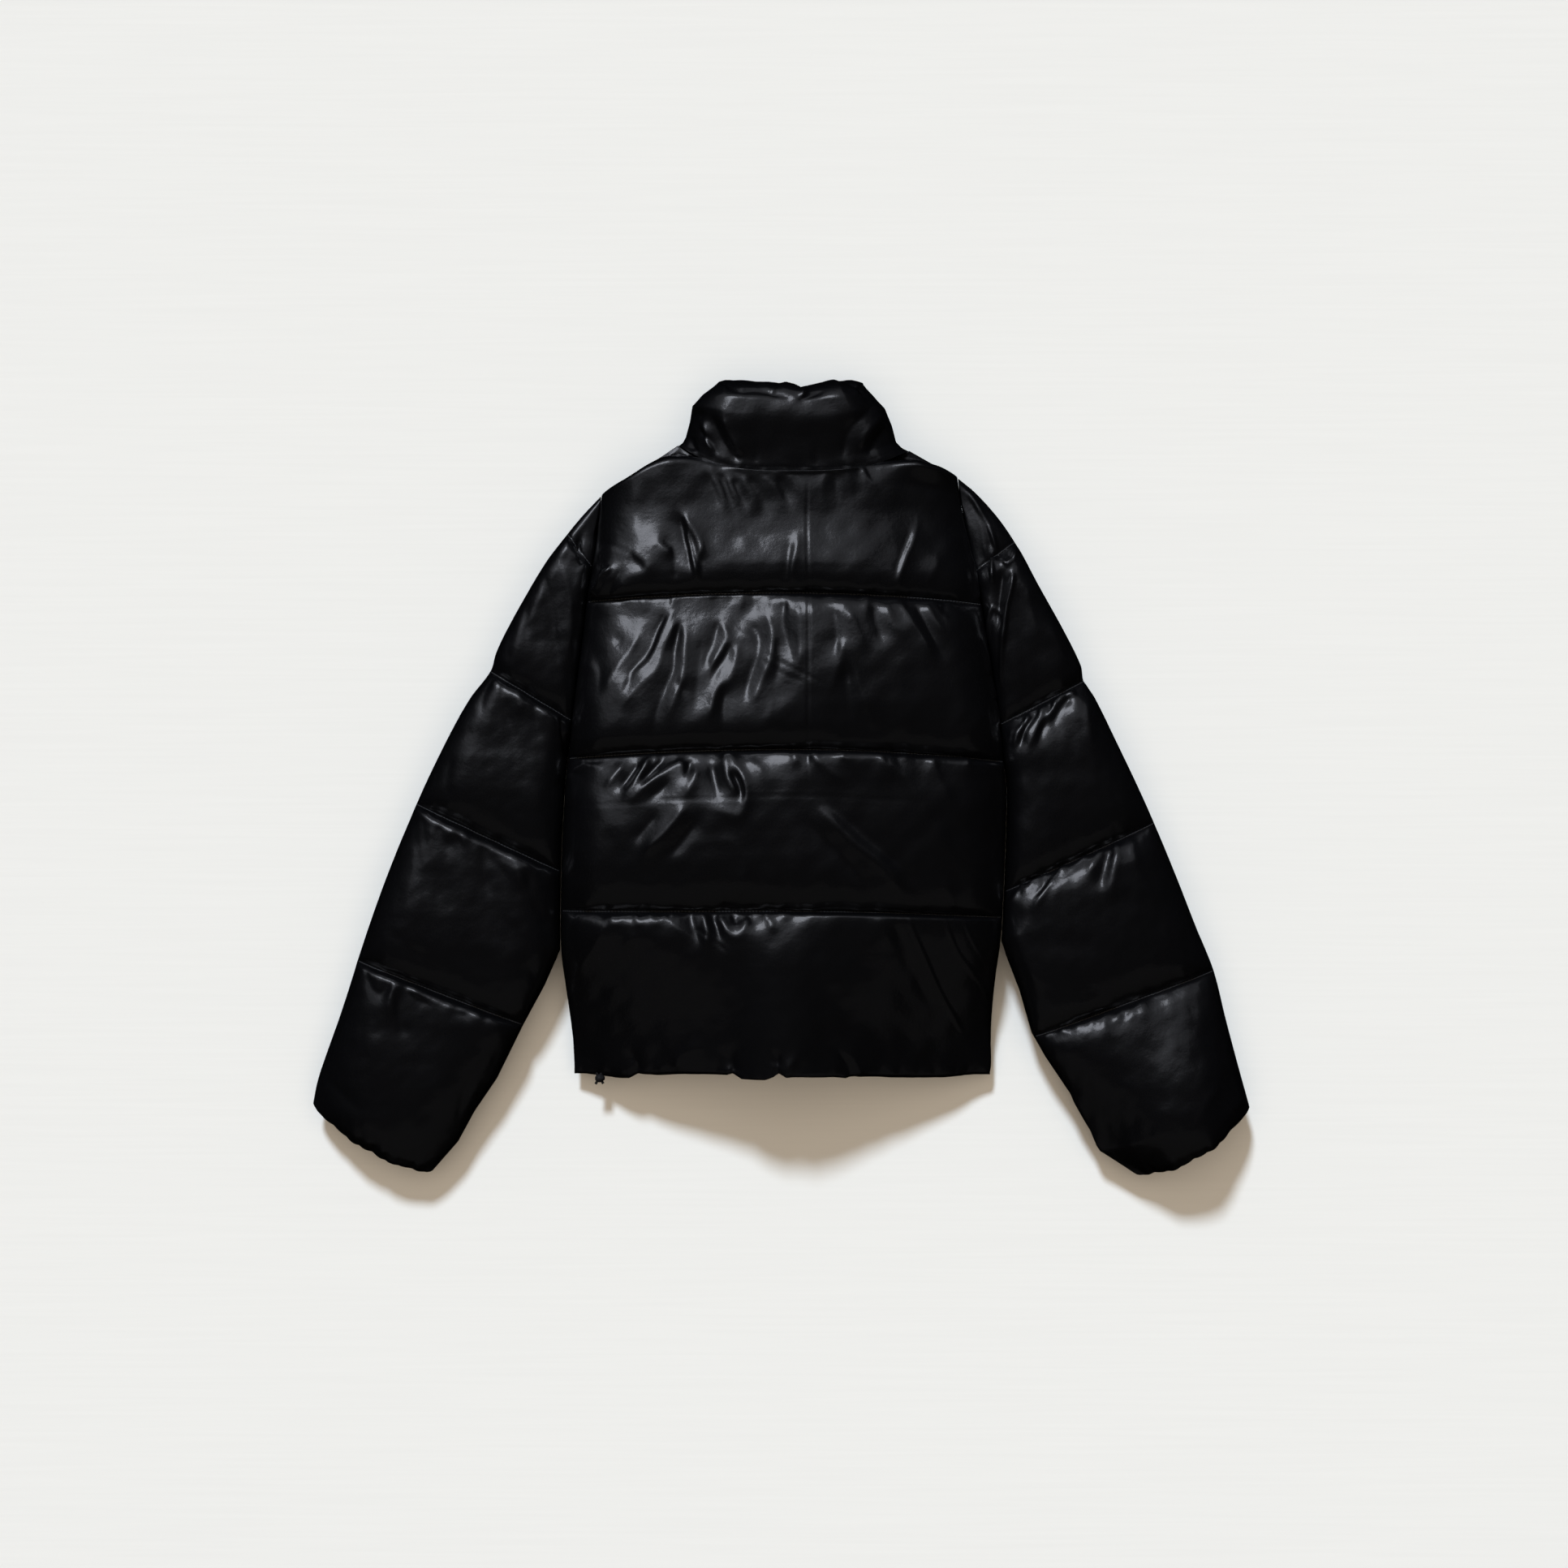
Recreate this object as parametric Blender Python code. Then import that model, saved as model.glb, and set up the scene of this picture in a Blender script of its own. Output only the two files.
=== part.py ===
"""Cropped puffer jacket with a stand collar, lying on its front with its back up.

Metres, +Z up, +Y towards the collar, -X the wearer's left.  The jacket rests on z = 0.
Tables are in millimetres: x across, y along, z up from the surface it lies on.

Every cloth piece is a padded wall: an outer skin, a lining skin and the rims where it is
sewn to its neighbour.  Back, fronts, sleeves and collar are worked out from rows: a row is
a quilting line (thin, pinched) or a step across the puff between two of them.
"""

import math

import bmesh
import bpy
from mathutils import Vector

MM = 0.001

# ---------------------------------------------------------------- driving sizes, mm
SEAM_GAP = 0.3          # between two pieces sewn to each other
ARMHOLE_GAP = 0.5       # between body edge and sleeve head, in plan
SIDE_GAP = 1.2          # between body side and the sleeve lying against it
Z_SEAM = 40.0           # height of the side and shoulder seams
BODY_HOLLOW = 12.0      # room between back and fronts at the middle
EDGE_ROUND = 46.0       # how far in from a side seam the puff takes to reach full height
BACK_BAND = 10.0        # thickness of the back's edge at side and shoulder seams
FRONT_BAND = 9.0        # the same on the fronts
ARMHOLE_OPEN = 11.0     # how far each wall stands back at the armhole's mouth
ARMHOLE_BAND = 10.0     # how much thicker the walls are round the armhole
LINING_PINCH = 8.0      # how far a quilting line draws the lining in
FRONT_PINCH = 16.0      # how far a quilting line lifts the fronts off the surface
SLEEVE_WALL = 21.0      # sleeve wall at its folded edges
SLEEVE_CUT = "line_3"   # the quilting line where a sleeve's two parts meet
SLEEVE_CUT_GAP = 0.36   # between them, along y
COLLAR_WALL = 17.0      # collar wall at its folded ends
ZIP_HALF = 5.0          # half the gap between the two fronts, filled by the zip
ZIP_WIDE, ZIP_THICK, ZIP_Z = 9.2, 2.4, 17.0
ROUND_POWER = 2.4       # how square the rounded edges are

# rows across one puff, as a share of the way from one quilting line to the next
PUFF_STEPS = (0.0, 0.08, 0.25, 0.5, 0.75, 0.92)
SLEEVE_STEPS = (0.0, 0.1, 0.3, 0.5, 0.7, 0.9)

# edge of the back, wearer's left: y, x  (shoulder end, armhole, underarm, side, hem)
EDGE_LEFT = (
    (278.8, -177.6), (228.0, -183.5), (172.0, -192.0), (123.0, -198.0), (56.0, -206.5),
    (20.0, -210.5), (-40.0, -215.0), (-92.0, -217.0), (-169.0, -217.6), (-204.0, -213.6),
    (-235.0, -209.5), (-267.0, -206.0), (-291.0, -205.6),
)
EDGE_RIGHT = (
    (296.4, 173.6), (262.0, 178.5), (172.0, 197.0), (124.0, 204.5), (81.0, 211.0),
    (20.0, 219.0), (-26.0, 221.5), (-118.0, 218.5), (-160.0, 216.0), (-204.0, 210.5),
    (-251.0, 207.5), (-282.0, 208.0), (-292.0, 206.5),
)
UNDERARM_LEFT, UNDERARM_RIGHT = 20.0, 12.0   # y of the underarm points

# where the neck seam meets the shoulder seams: x, y
NECK_LEFT, NECK_RIGHT = (-101.6, 324.4), (125.6, 322.0)
BACK_NECK = dict(low=300.5, power=3.2)       # the back neck dips to here
FRONT_NECK = dict(low=272.0, power=2.4)      # the front neck is cut lower

# quilting lines of the body: name, y at left edge, middle, right edge, then the outside
# height of the back at the middle and the sides, and the same for the puff that follows
BODY_LINES = (
    # name      y_left  y_mid   y_right  z_mid  z_side  puff_mid puff_side
    ("quilt_1", 173.2,  181.2,  170.8,   79.0,  54.0,   106.0,   70.0),
    ("quilt_2",  19.6,   28.4,   16.4,   82.0,  56.0,   108.0,   72.0),
    ("quilt_3", -130.0, -129.2, -136.4,  82.0,  56.0,   105.0,   70.0),
    ("hem",     -289.2, -288.4, -290.0,  97.0,  52.0,   0.0,     0.0),
)
CROWN, HEM_CROWN = 2.2, 1.25    # how the back falls off sideways: rounded, a ridge at the hem
TOP_ROW = dict(z_mid=63.0, z_side=50.0, puff_mid=99.0, puff_side=67.0)
HEM_LIP = 8.0           # how far the hem of the fronts is off the surface

# the longest folds of the back: x0, y0 to x1, y1, half width, depth
BACK_FOLDS = (
    ("fold_a", -112.0, 160.0, -150.0,  60.0, 17.0, 4.0),
    ("fold_b",  -58.0, 150.0,  -88.0,  45.0, 18.0, 5.0),
    ("fold_c",   10.0, 160.0,  -20.0,  50.0, 16.0, 4.0),
    ("fold_d",   70.0, 140.0,   95.0,  60.0, 18.0, 3.5),
    ("fold_e", -100.0, 262.0,  -78.0, 200.0, 16.0, 3.5),
    ("fold_f",  128.0, 262.0,  108.0, 196.0, 15.0, 3.0),
    ("fold_g",  128.0, -140.0, 182.0, -236.0, 15.0, 3.5),
)

# sleeve rows, wearer's left: name, y where it meets the outer fold, y where it meets the
# inner edge, height of the middle plane, outside height on the line, height of the puff
# after it, underside on the line, half the hollow
SLEEVE_LEFT_LINES = (
    # name      y_out   y_in    z_mid  z_line z_puff z_under hollow
    ("head",    278.4,  249.0,  40.15, 50.0,  55.0,  26.0,   1.6),
    ("line_1",  241.2,  208.4,  40.15, 54.0,  68.0,  20.0,   3.5),
    ("line_2",  106.0,   57.2,  40.15, 55.0,  72.0,  14.0,   6.5),
    ("line_3",  -24.8,  -91.6,  36.0,  53.0,  71.0,  12.0,   6.5),
    ("line_4", -179.2, -242.8,  32.0,  50.0,  65.0,  11.0,   6.0),
    ("cuff",   -320.8, -387.6,  28.0,  45.0,  0.0,   8.0,    6.5),
)
SLEEVE_LEFT_OUTER = (
    (278.8, -178.0), (258.8, -196.8), (241.2, -211.2), (214.0, -232.0), (182.8, -251.0),
    (146.8, -271.2), (124.4, -281.6), (106.0, -287.4), (79.6, -307.2), (34.8, -332.0),
    (-24.4, -360.4), (-99.6, -391.2), (-179.0, -419.2), (-234.0, -436.8), (-278.8, -452.8),
    (-301.2, -460.0), (-322.0, -464.0),
)
SLEEVE_LEFT_INNER = (
    (-169.0, -218.8), (-204.4, -234.4), (-242.8, -255.2), (-296.4, -281.6),
    (-329.2, -304.0), (-358.8, -320.0), (-388.0, -345.6),
)
CUFF_BOW_LEFT = 13.0

SLEEVE_RIGHT_LINES = (
    # name      y_out   y_in    z_mid  z_line z_puff z_under hollow
    ("head",    296.0,  258.0,  40.15, 50.0,  55.0,  26.0,   1.6),
    ("line_1",  233.2,  204.0,  40.15, 54.0,  68.0,  20.0,   3.5),
    ("line_2",   96.0,   53.2,  40.15, 55.0,  72.0,  14.0,   6.5),
    ("line_3",  -43.6, -111.6,  36.0,  53.0,  71.0,  12.0,   6.5),
    ("line_4", -189.2, -254.8,  32.0,  50.0,  65.0,  11.0,   6.0),
    ("cuff",   -323.6, -390.0,  28.0,  45.0,  0.0,   8.0,    6.5),
)
SLEEVE_RIGHT_OUTER = (
    (296.4, 174.0), (281.2, 192.0), (258.8, 211.2), (233.2, 230.0), (191.6, 252.8),
    (146.8, 277.6), (112.0, 295.0), (96.0, 298.2), (79.6, 308.8), (34.8, 331.2),
    (-10.0, 352.8), (-43.6, 368.0), (-99.6, 391.2), (-144.4, 408.8), (-189.2, 427.2),
    (-234.0, 438.4), (-278.8, 450.4), (-325.0, 463.4),
)
SLEEVE_RIGHT_INNER = (
    (-160.0, 217.2), (-178.0, 223.2), (-209.2, 235.2), (-250.8, 247.2), (-274.8, 260.8),
    (-311.6, 285.6), (-347.6, 306.4), (-368.4, 315.2), (-390.5, 349.6),
)
CUFF_BOW_RIGHT = 16.0

# collar rows: name, share of the way up, x of the left and right folds, height of the
# outside and underside at the middle
COLLAR_ROWS = (
    # name     share  x_left   x_right  z_out  z_under
    ("base",   0.0,   -101.6,  125.6,   63.0,  13.0),
    ("low",    0.14,   -95.0,  113.5,   76.0,   3.0),
    ("middle", 0.38,   -90.0,  109.0,   84.0,   0.0),
    ("high",   0.64,   -85.5,   98.0,   83.0,   0.0),
    ("roll",   0.86,   -73.0,   87.0,   76.0,   3.0),
    ("top",    1.0,    -62.4,   80.4,   66.0,  12.0),
)
COLLAR_TOP = dict(y_left=390.0, y_mid=386.5, y_right=389.0)
COLLAR_HOLLOW = 11.0

# columns across the shoulder and across the neck, as shares of each
SHOULDER_STEPS = (0.0, 0.04, 0.12, 0.3, 0.6)
NECK_STEPS = (0.0, 0.04, 0.12, 0.25, 0.375, 0.5, 0.625, 0.75, 0.88, 0.96, 1.0)
HALF_NECK_STEPS = tuple(2.0 * s for s in NECK_STEPS if s <= 0.5)
SLEEVE_COLUMNS = (1.0, 0.975, 0.91, 0.79, 0.63, 0.47, 0.31, 0.18, 0.08, 0.022, 0.0)

# zip slider and pull, mm
SLIDER = dict(wide=8.6, long=12.0, thick=2.4, y=371.0)
BRIDGE = dict(wide=2.4, half_long=3.8, deep=3.6, window_half=2.2, window_deep=2.4)
PULL = dict(wide=6.4, long=25.0, thick=1.4, bar=1.3, slot_wide=3.4, slot_long=5.0)
PULL_LEAN = 29.2        # degrees: the pull's tip lies on the surface
KNOT = dict(x=-180.0, y=-296.4, z=30.0, r=4.6, stub_r=1.3, stub_long=6.5)

SHELL = (0.006, 0.006, 0.007, 1.0)
METAL = (0.05, 0.05, 0.055, 1.0)


# ---------------------------------------------------------------- small helpers
def lerp(a, b, t):
    return a + (b - a) * t


def clamp(v, lo=0.0, hi=1.0):
    return max(lo, min(hi, v))


def smooth_at(table, y):
    """x at y on a smooth curve through (y, x) rows, y falling down the table."""
    ys = [r[0] for r in table]
    xs = [r[1] for r in table]
    if y >= ys[0]:
        return xs[0]
    if y <= ys[-1]:
        return xs[-1]
    k = max(i for i in range(len(ys) - 1) if ys[i] >= y)
    def slope(i):
        a, b = max(i - 1, 0), min(i + 1, len(ys) - 1)
        return (xs[b] - xs[a]) / (ys[b] - ys[a])
    h = ys[k + 1] - ys[k]
    t = (y - ys[k]) / h
    t2, t3 = t * t, t * t * t
    return ((2 * t3 - 3 * t2 + 1) * xs[k] + (t3 - 2 * t2 + t) * h * slope(k)
            + (-2 * t3 + 3 * t2) * xs[k + 1] + (t3 - t2) * h * slope(k + 1))


def straight_at(table, y):
    """x at y on straight runs through (y, x) rows."""
    if y >= table[0][0]:
        return table[0][1]
    for (ya, xa), (yb, xb) in zip(table, table[1:]):
        if y >= yb:
            return lerp(xa, xb, (y - ya) / (yb - ya))
    return table[-1][1]


def rounded(t, power=ROUND_POWER):
    """0 at an edge, 1 where t reaches 1, with a rounded shoulder."""
    t = clamp(t)
    return (1.0 - (1.0 - t) ** power) ** (1.0 / power)


def puff(f):
    """0 on a quilting line, 1 midway to the next."""
    return math.sqrt(max(0.0, 1.0 - (2.0 * f - 1.0) ** 2))


def armhole(y, top, underarm):
    """0 at the shoulder and underarm, 1 midway down the armhole."""
    f = (y - underarm) / (top - underarm)
    return 4.0 * f * (1.0 - f) if 0.0 < f < 1.0 else 0.0


def centre_x(y):
    """x of the zip, which leans a little, as the jacket lies."""
    if y < FRONT_NECK["low"]:
        return lerp(0.4, 12.0, (y + 289.0) / (FRONT_NECK["low"] + 289.0))
    return lerp(12.0, 10.0, (y - FRONT_NECK["low"]) / 116.0)


def neck_y(t, cut):
    """y of the neck seam at share t from the left neck point to the right one."""
    ends = lerp(NECK_LEFT[1], NECK_RIGHT[1], t)
    return lerp(cut["low"], ends, abs(2.0 * t - 1.0) ** cut["power"])


def material(name, colour, rough, metal=0.0):
    m = bpy.data.materials.new(name)
    m.use_nodes = True
    b = m.node_tree.nodes["Principled BSDF"]
    b.inputs["Base Color"].default_value = colour
    b.inputs["Roughness"].default_value = rough
    b.inputs["Metallic"].default_value = metal
    return m


def add_mesh(name, verts, faces, mat):
    """A closed mesh from points in mm, faces turned outwards, smooth but for its rims."""
    mesh = bpy.data.meshes.new(name)
    mesh.from_pydata([(x * MM, y * MM, z * MM) for x, y, z in verts], [], faces)
    bm = bmesh.new()
    bm.from_mesh(mesh)
    bmesh.ops.recalc_face_normals(bm, faces=bm.faces)
    bmesh.ops.triangulate(bm, faces=bm.faces, quad_method="SHORT_EDGE")
    bmesh.ops.recalc_face_normals(bm, faces=bm.faces)
    bm.to_mesh(mesh)
    bm.free()
    mesh.shade_smooth()
    mesh.set_sharp_from_angle(angle=math.radians(50))
    obj = bpy.data.objects.new(name, mesh)
    mesh.materials.append(mat)
    bpy.context.scene.collection.objects.link(obj)
    return obj


def padded_wall(name, outer, lining, mat, joined_from=None):
    """Two skins of points [row][column] and the rims between them, as one closed wall.

    From row joined_from on, the last column is the first one again: a tube, open above
    that row along its inner edge.
    """
    rows, cols = len(outer), len(outer[0])
    closed = rows if joined_from is None else joined_from
    verts, index = [], {}

    def at(skin, i, j):
        if i >= closed and j == cols - 1:
            j = 0
        key = (skin, i, j)
        if key not in index:
            index[key] = len(verts)
            verts.append((outer if skin == 0 else lining)[i][j])
        return index[key]

    faces = []
    for i in range(rows - 1):
        for j in range(cols - 1):
            faces.append((at(0, i, j), at(0, i, j + 1), at(0, i + 1, j + 1), at(0, i + 1, j)))
            faces.append((at(1, i, j), at(1, i + 1, j), at(1, i + 1, j + 1), at(1, i, j + 1)))
    for j in range(cols - 1):
        faces.append((at(0, 0, j + 1), at(0, 0, j), at(1, 0, j), at(1, 0, j + 1)))
        r = rows - 1
        faces.append((at(0, r, j), at(0, r, j + 1), at(1, r, j + 1), at(1, r, j)))
    for i in range(min(closed, rows - 1)):
        faces.append((at(0, i, 0), at(0, i + 1, 0), at(1, i + 1, 0), at(1, i, 0)))
        c = cols - 1
        faces.append((at(0, i + 1, c), at(0, i, c), at(1, i, c), at(1, i + 1, c)))
    return add_mesh(name, verts, faces, mat)


# ---------------------------------------------------------------- body rows
def body_rows(cut):
    """Rows from the shoulder and neck seam to the hem.

    Each gives y at the left edge, middle and right edge, the back's outside heights, how
    far across its puff it is, and the share of the first puff still left, which bends it
    towards the neck and shoulders.
    """
    rows = []
    above = dict(y=(EDGE_LEFT[0][0], None, EDGE_RIGHT[0][0]), line=(TOP_ROW["z_mid"], TOP_ROW["z_side"]),
                 puff=(TOP_ROW["puff_mid"], TOP_ROW["puff_side"]))
    for name, yl, ym, yr, zm, zs, pm, ps in BODY_LINES:
        for f in PUFF_STEPS:
            rows.append(dict(f=f, up=above, down=dict(y=(yl, ym, yr), line=(zm, zs)), last=False))
        above = dict(y=(yl, ym, yr), line=(zm, zs), puff=(pm, ps))
    rows.append(dict(f=1.0, up=rows[-1]["up"], down=rows[-1]["down"], last=True))
    return rows


def quilt_y(line, u):
    yl, ym, yr = line["y"]
    return lerp(ym, yl if u < 0.5 else yr, (2.0 * u - 1.0) ** 2)


def top_points(cut, inner_left=None, inner_right=None):
    """The shoulder and neck seam as (x, y), left to right, and where its parts meet."""
    sl, sr = (EDGE_LEFT[0][1], EDGE_LEFT[0][0]), (EDGE_RIGHT[0][1], EDGE_RIGHT[0][0])
    left = [(lerp(sl[0], NECK_LEFT[0], s), lerp(sl[1], NECK_LEFT[1], s)) for s in SHOULDER_STEPS]
    right = [(lerp(sr[0], NECK_RIGHT[0], s), lerp(sr[1], NECK_RIGHT[1], s)) for s in reversed(SHOULDER_STEPS)]
    return left, right


def fold_depth(x, y):
    """How much the long folds take off the back at x, y."""
    total = 0.0
    for _, x0, y0, x1, y1, half, deep in BACK_FOLDS:
        dx, dy = x1 - x0, y1 - y0
        along = clamp(((x - x0) * dx + (y - y0) * dy) / (dx * dx + dy * dy))
        away = math.hypot(x - x0 - dx * along, y - y0 - dy * along)
        total += deep * math.exp(-(away / half) ** 2) * math.sin(math.pi * clamp(0.15 + 0.7 * along))
    return total


def edge_heights(y, left):
    """Seam heights at a side edge: back outside, back lining, front lining, front outside."""
    top = (EDGE_LEFT if left else EDGE_RIGHT)[0][0]
    o = armhole(y, top, UNDERARM_LEFT if left else UNDERARM_RIGHT)
    return (Z_SEAM + BACK_BAND + ARMHOLE_BAND * o, Z_SEAM + SEAM_GAP + ARMHOLE_OPEN * o,
            Z_SEAM - ARMHOLE_OPEN * o, Z_SEAM - FRONT_BAND - ARMHOLE_BAND * o)


def make_back(mat):
    left, right = top_points(BACK_NECK)
    neck = [(lerp(NECK_LEFT[0], NECK_RIGHT[0], t), neck_y(t, BACK_NECK)) for t in NECK_STEPS]
    top = left + neck + right
    wide = top[-1][0] - top[0][0]
    shares = [(p[0] - top[0][0]) / wide for p in top]
    outer, lining = [], []
    for row in body_rows(BACK_NECK):
        f, up, down = row["f"], row["up"], row["down"]
        y_edge = []
        for side in (0, 2):
            a = up["y"][side]
            y_edge.append(lerp(a, down["y"][side], f))
        xl, xr = smooth_at(EDGE_LEFT, y_edge[0]), smooth_at(EDGE_RIGHT, y_edge[1])
        rise = puff(f)
        o_row, l_row = [], []
        for k, u in enumerate(shares):
            x = lerp(xl, xr, u)
            y_up = top[k][1] if up["y"][1] is None else quilt_y(up, u)
            y = lerp(y_up, quilt_y(down, u), f)
            fall = lerp(CROWN, HEM_CROWN, f) if down["y"][1] < -280.0 else CROWN
            crown = 1.0 - abs(2.0 * u - 1.0) ** fall
            line = lerp(lerp(up["line"][1], up["line"][0], crown), lerp(down["line"][1], down["line"][0], crown), f)
            full = lerp(up["puff"][1], up["puff"][0], crown)
            z = lerp(line, full, rise)
            in_left, in_right = (x - xl) / EDGE_ROUND, (xr - x) / EDGE_ROUND
            near = min(in_left, in_right)
            heights = edge_heights(y, in_left < in_right)
            a = rounded(near)
            z = lerp(heights[0], z, a) - (fold_depth(x, y) * a * rise)
            inside = Z_SEAM + BODY_HOLLOW + LINING_PINCH * (1.0 - rise) * (0.0 if row["last"] or (up["y"][1] is None and f == 0.0) else 1.0)
            if up["y"][1] is None and f == 0.0:      # shoulder and neck seam
                on_neck = clamp((x - NECK_LEFT[0]) / (NECK_RIGHT[0] - NECK_LEFT[0]))
                arch = rounded(min(on_neck, 1.0 - on_neck) / 0.25)
                inside = Z_SEAM + SEAM_GAP + (BODY_HOLLOW - SEAM_GAP) * arch
                z = Z_SEAM + BACK_BAND + (TOP_ROW["z_mid"] - Z_SEAM - BACK_BAND) * arch
                lz = inside
            else:
                lz = lerp(heights[1], inside, rounded(near))
            o_row.append((x, y, z))
            l_row.append((x, y, min(lz, z - 7.0)))
        outer.append(o_row)
        lining.append(l_row)
    return padded_wall("back", outer, lining, mat)


def make_front(name, left_side, mat):
    left, right = top_points(FRONT_NECK)
    cx = centre_x(FRONT_NECK["low"])
    if left_side:
        start, shoulder, edge = NECK_LEFT, left, EDGE_LEFT
        stop = cx - ZIP_HALF
    else:
        start, shoulder, edge = NECK_RIGHT, list(reversed(right)), EDGE_RIGHT
        stop = cx + ZIP_HALF
    neck = []
    for s in HALF_NECK_STEPS:
        t = 0.5 * s if left_side else 1.0 - 0.5 * s
        neck.append((lerp(start[0], stop, s), neck_y(t, FRONT_NECK)))
    top = shoulder + neck
    shares = [(p[0] - top[0][0]) / (top[-1][0] - top[0][0]) for p in top]
    side = 0 if left_side else 2
    outer, lining = [], []
    for row in body_rows(FRONT_NECK):
        f, up, down = row["f"], row["up"], row["down"]
        ye = lerp(up["y"][side], down["y"][side], f)
        xe = smooth_at(edge, ye)
        y_mid_up = top[-1][1] if up["y"][1] is None else up["y"][1]
        yc = lerp(y_mid_up, down["y"][1], f)
        xc = centre_x(yc) + (-ZIP_HALF if left_side else ZIP_HALF)
        rise = puff(f)
        flat = clamp(rise / 0.8)                     # the underside lies flat sooner
        seam = up["y"][1] is None and f == 0.0
        o_row, l_row = [], []
        for k, s in enumerate(shares):
            x = lerp(xe, xc, s)
            u = 0.5 * s if left_side else 1.0 - 0.5 * s
            y_up = top[k][1] if up["y"][1] is None else quilt_y(up, u)
            y = lerp(y_up, quilt_y(down, u), f)
            heights = edge_heights(y, left_side)
            near = abs(x - xe) / EDGE_ROUND
            near_zip = abs(xc - x) / 18.0
            lift = HEM_LIP if row["last"] else FRONT_PINCH
            lift *= (1.0 - flat)
            z = lerp(heights[3], lift, rounded(near))
            z = max(z, lerp(15.0, lift, rounded(near_zip)))
            inside = Z_SEAM - LINING_PINCH * 0.6 * (1.0 - rise) * (0.0 if row["last"] or seam else 1.0)
            lz = lerp(heights[2], inside, rounded(near))
            if seam:
                on_neck = clamp((x - start[0]) / (stop - start[0]))
                arch = rounded(on_neck / 0.5)
                z, lz = lerp(Z_SEAM - FRONT_BAND, 14.0, arch), Z_SEAM
            o_row.append((x, y, z))
            l_row.append((x, y, max(lz, z + 6.0)))
        outer.append(o_row)
        lining.append(l_row)
    return padded_wall(name, outer, lining, mat)


# ---------------------------------------------------------------- sleeves
def make_sleeve(name, left_side, mat):
    if left_side:
        lines, fold, inner, edge = SLEEVE_LEFT_LINES, SLEEVE_LEFT_OUTER, SLEEVE_LEFT_INNER, EDGE_LEFT
        underarm, bow, out = UNDERARM_LEFT, CUFF_BOW_LEFT, -1.0
    else:
        lines, fold, inner, edge = SLEEVE_RIGHT_LINES, SLEEVE_RIGHT_OUTER, SLEEVE_RIGHT_INNER, EDGE_RIGHT
        underarm, bow, out = UNDERARM_RIGHT, CUFF_BOW_RIGHT, 1.0

    rows = []
    for a, b in zip(lines, lines[1:]):
        steps = (0.0, 0.5) if a[0] == "head" else SLEEVE_STEPS
        for f in steps:
            rows.append((a, b, f))
    rows.append((lines[-2], lines[-1], 1.0))

    # the row at the underarm is the first that closes into a tube
    outer, lining, join = [], [], None
    for i, (a, b, f) in enumerate(rows):
        y_out, y_in = lerp(a[1], b[1], f), lerp(a[2], b[2], f)
        is_open = y_in > underarm + 6.0
        if not is_open and join is None:
            join, y_in = i, underarm
        x_out = smooth_at(fold, y_out)
        if y_in >= inner[0][0]:
            gap = ARMHOLE_GAP if is_open or join == i else SIDE_GAP
            x_in = smooth_at(edge, y_in) + out * gap
        else:
            x_in = straight_at(inner, y_in)
        rise = puff(f)
        flat = clamp(rise / 0.8)
        plane = lerp(a[3], b[3], f)
        z_top = lerp(lerp(a[4], b[4], f), a[5], rise)
        z_low = lerp(a[6], b[6], f) * (1.0 - flat)
        if a[0] == "head":
            z_low = lerp(a[6], b[6], f)
        half = lerp(a[7], b[7], f)
        bend = bow * clamp((f - 0.5) / 0.5) ** 2 if b[0] == "cuff" else 0.0
        length = math.hypot(x_in - x_out, y_in - y_out)
        inset = min(0.3, SLEEVE_WALL / length)
        heights = edge_heights(y_in, left_side)

        def place(t):
            x, y = lerp(x_out, x_in, t), lerp(y_out, y_in, t)
            return x, y - bend * math.sin(math.pi * clamp(t)) ** 0.8

        o_row, l_row = [], []
        for over in (True, False):
            cols = SLEEVE_COLUMNS if over else tuple(reversed(SLEEVE_COLUMNS))[1:]
            for t in cols:
                r = rounded(2.0 * t) if t < 0.5 else rounded(2.0 * (1.0 - t))
                far = z_top if over else z_low
                base = plane
                if is_open and t >= 0.5:
                    base = heights[0] if over else heights[3]
                x, y = place(t)
                z = lerp(base, far, r)
                o_row.append((x, y, z))
                # lining: drawn in from the folds, level with the armhole's mouth where open
                tl = inset + (1.0 - inset) * t if is_open else inset + (1.0 - 2.0 * inset) * t
                x, y = place(tl)
                h = half * r
                if is_open and t >= 0.5:
                    h = lerp(heights[1] - 40.15, half, r)
                zl = plane + h if over else plane - h
                if over:
                    zl = min(zl, z - 4.0) if t not in (0.0,) else plane
                elif t not in (0.0,):
                    zl = max(zl, z + 4.0)
                if not is_open and t == 1.0:
                    zl = plane
                l_row.append((x, y, zl))
        outer.append(o_row)
        lining.append(l_row)

    # the wall is sewn from two parts, which meet at the middle quilting line
    cut_at = next(i for i, (a, b, f) in enumerate(rows) if a[0] == SLEEVE_CUT and f == 0.0)
    padded_wall(name + "_upper", outer[:cut_at + 1], lining[:cut_at + 1], mat, joined_from=join)
    lower = []
    for grid in (outer, lining):
        first = [(x, y - SLEEVE_CUT_GAP, z) for x, y, z in grid[cut_at]]
        lower.append([first] + grid[cut_at + 1:])
    padded_wall(name + "_lower", lower[0], lower[1], mat, joined_from=0)


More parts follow.
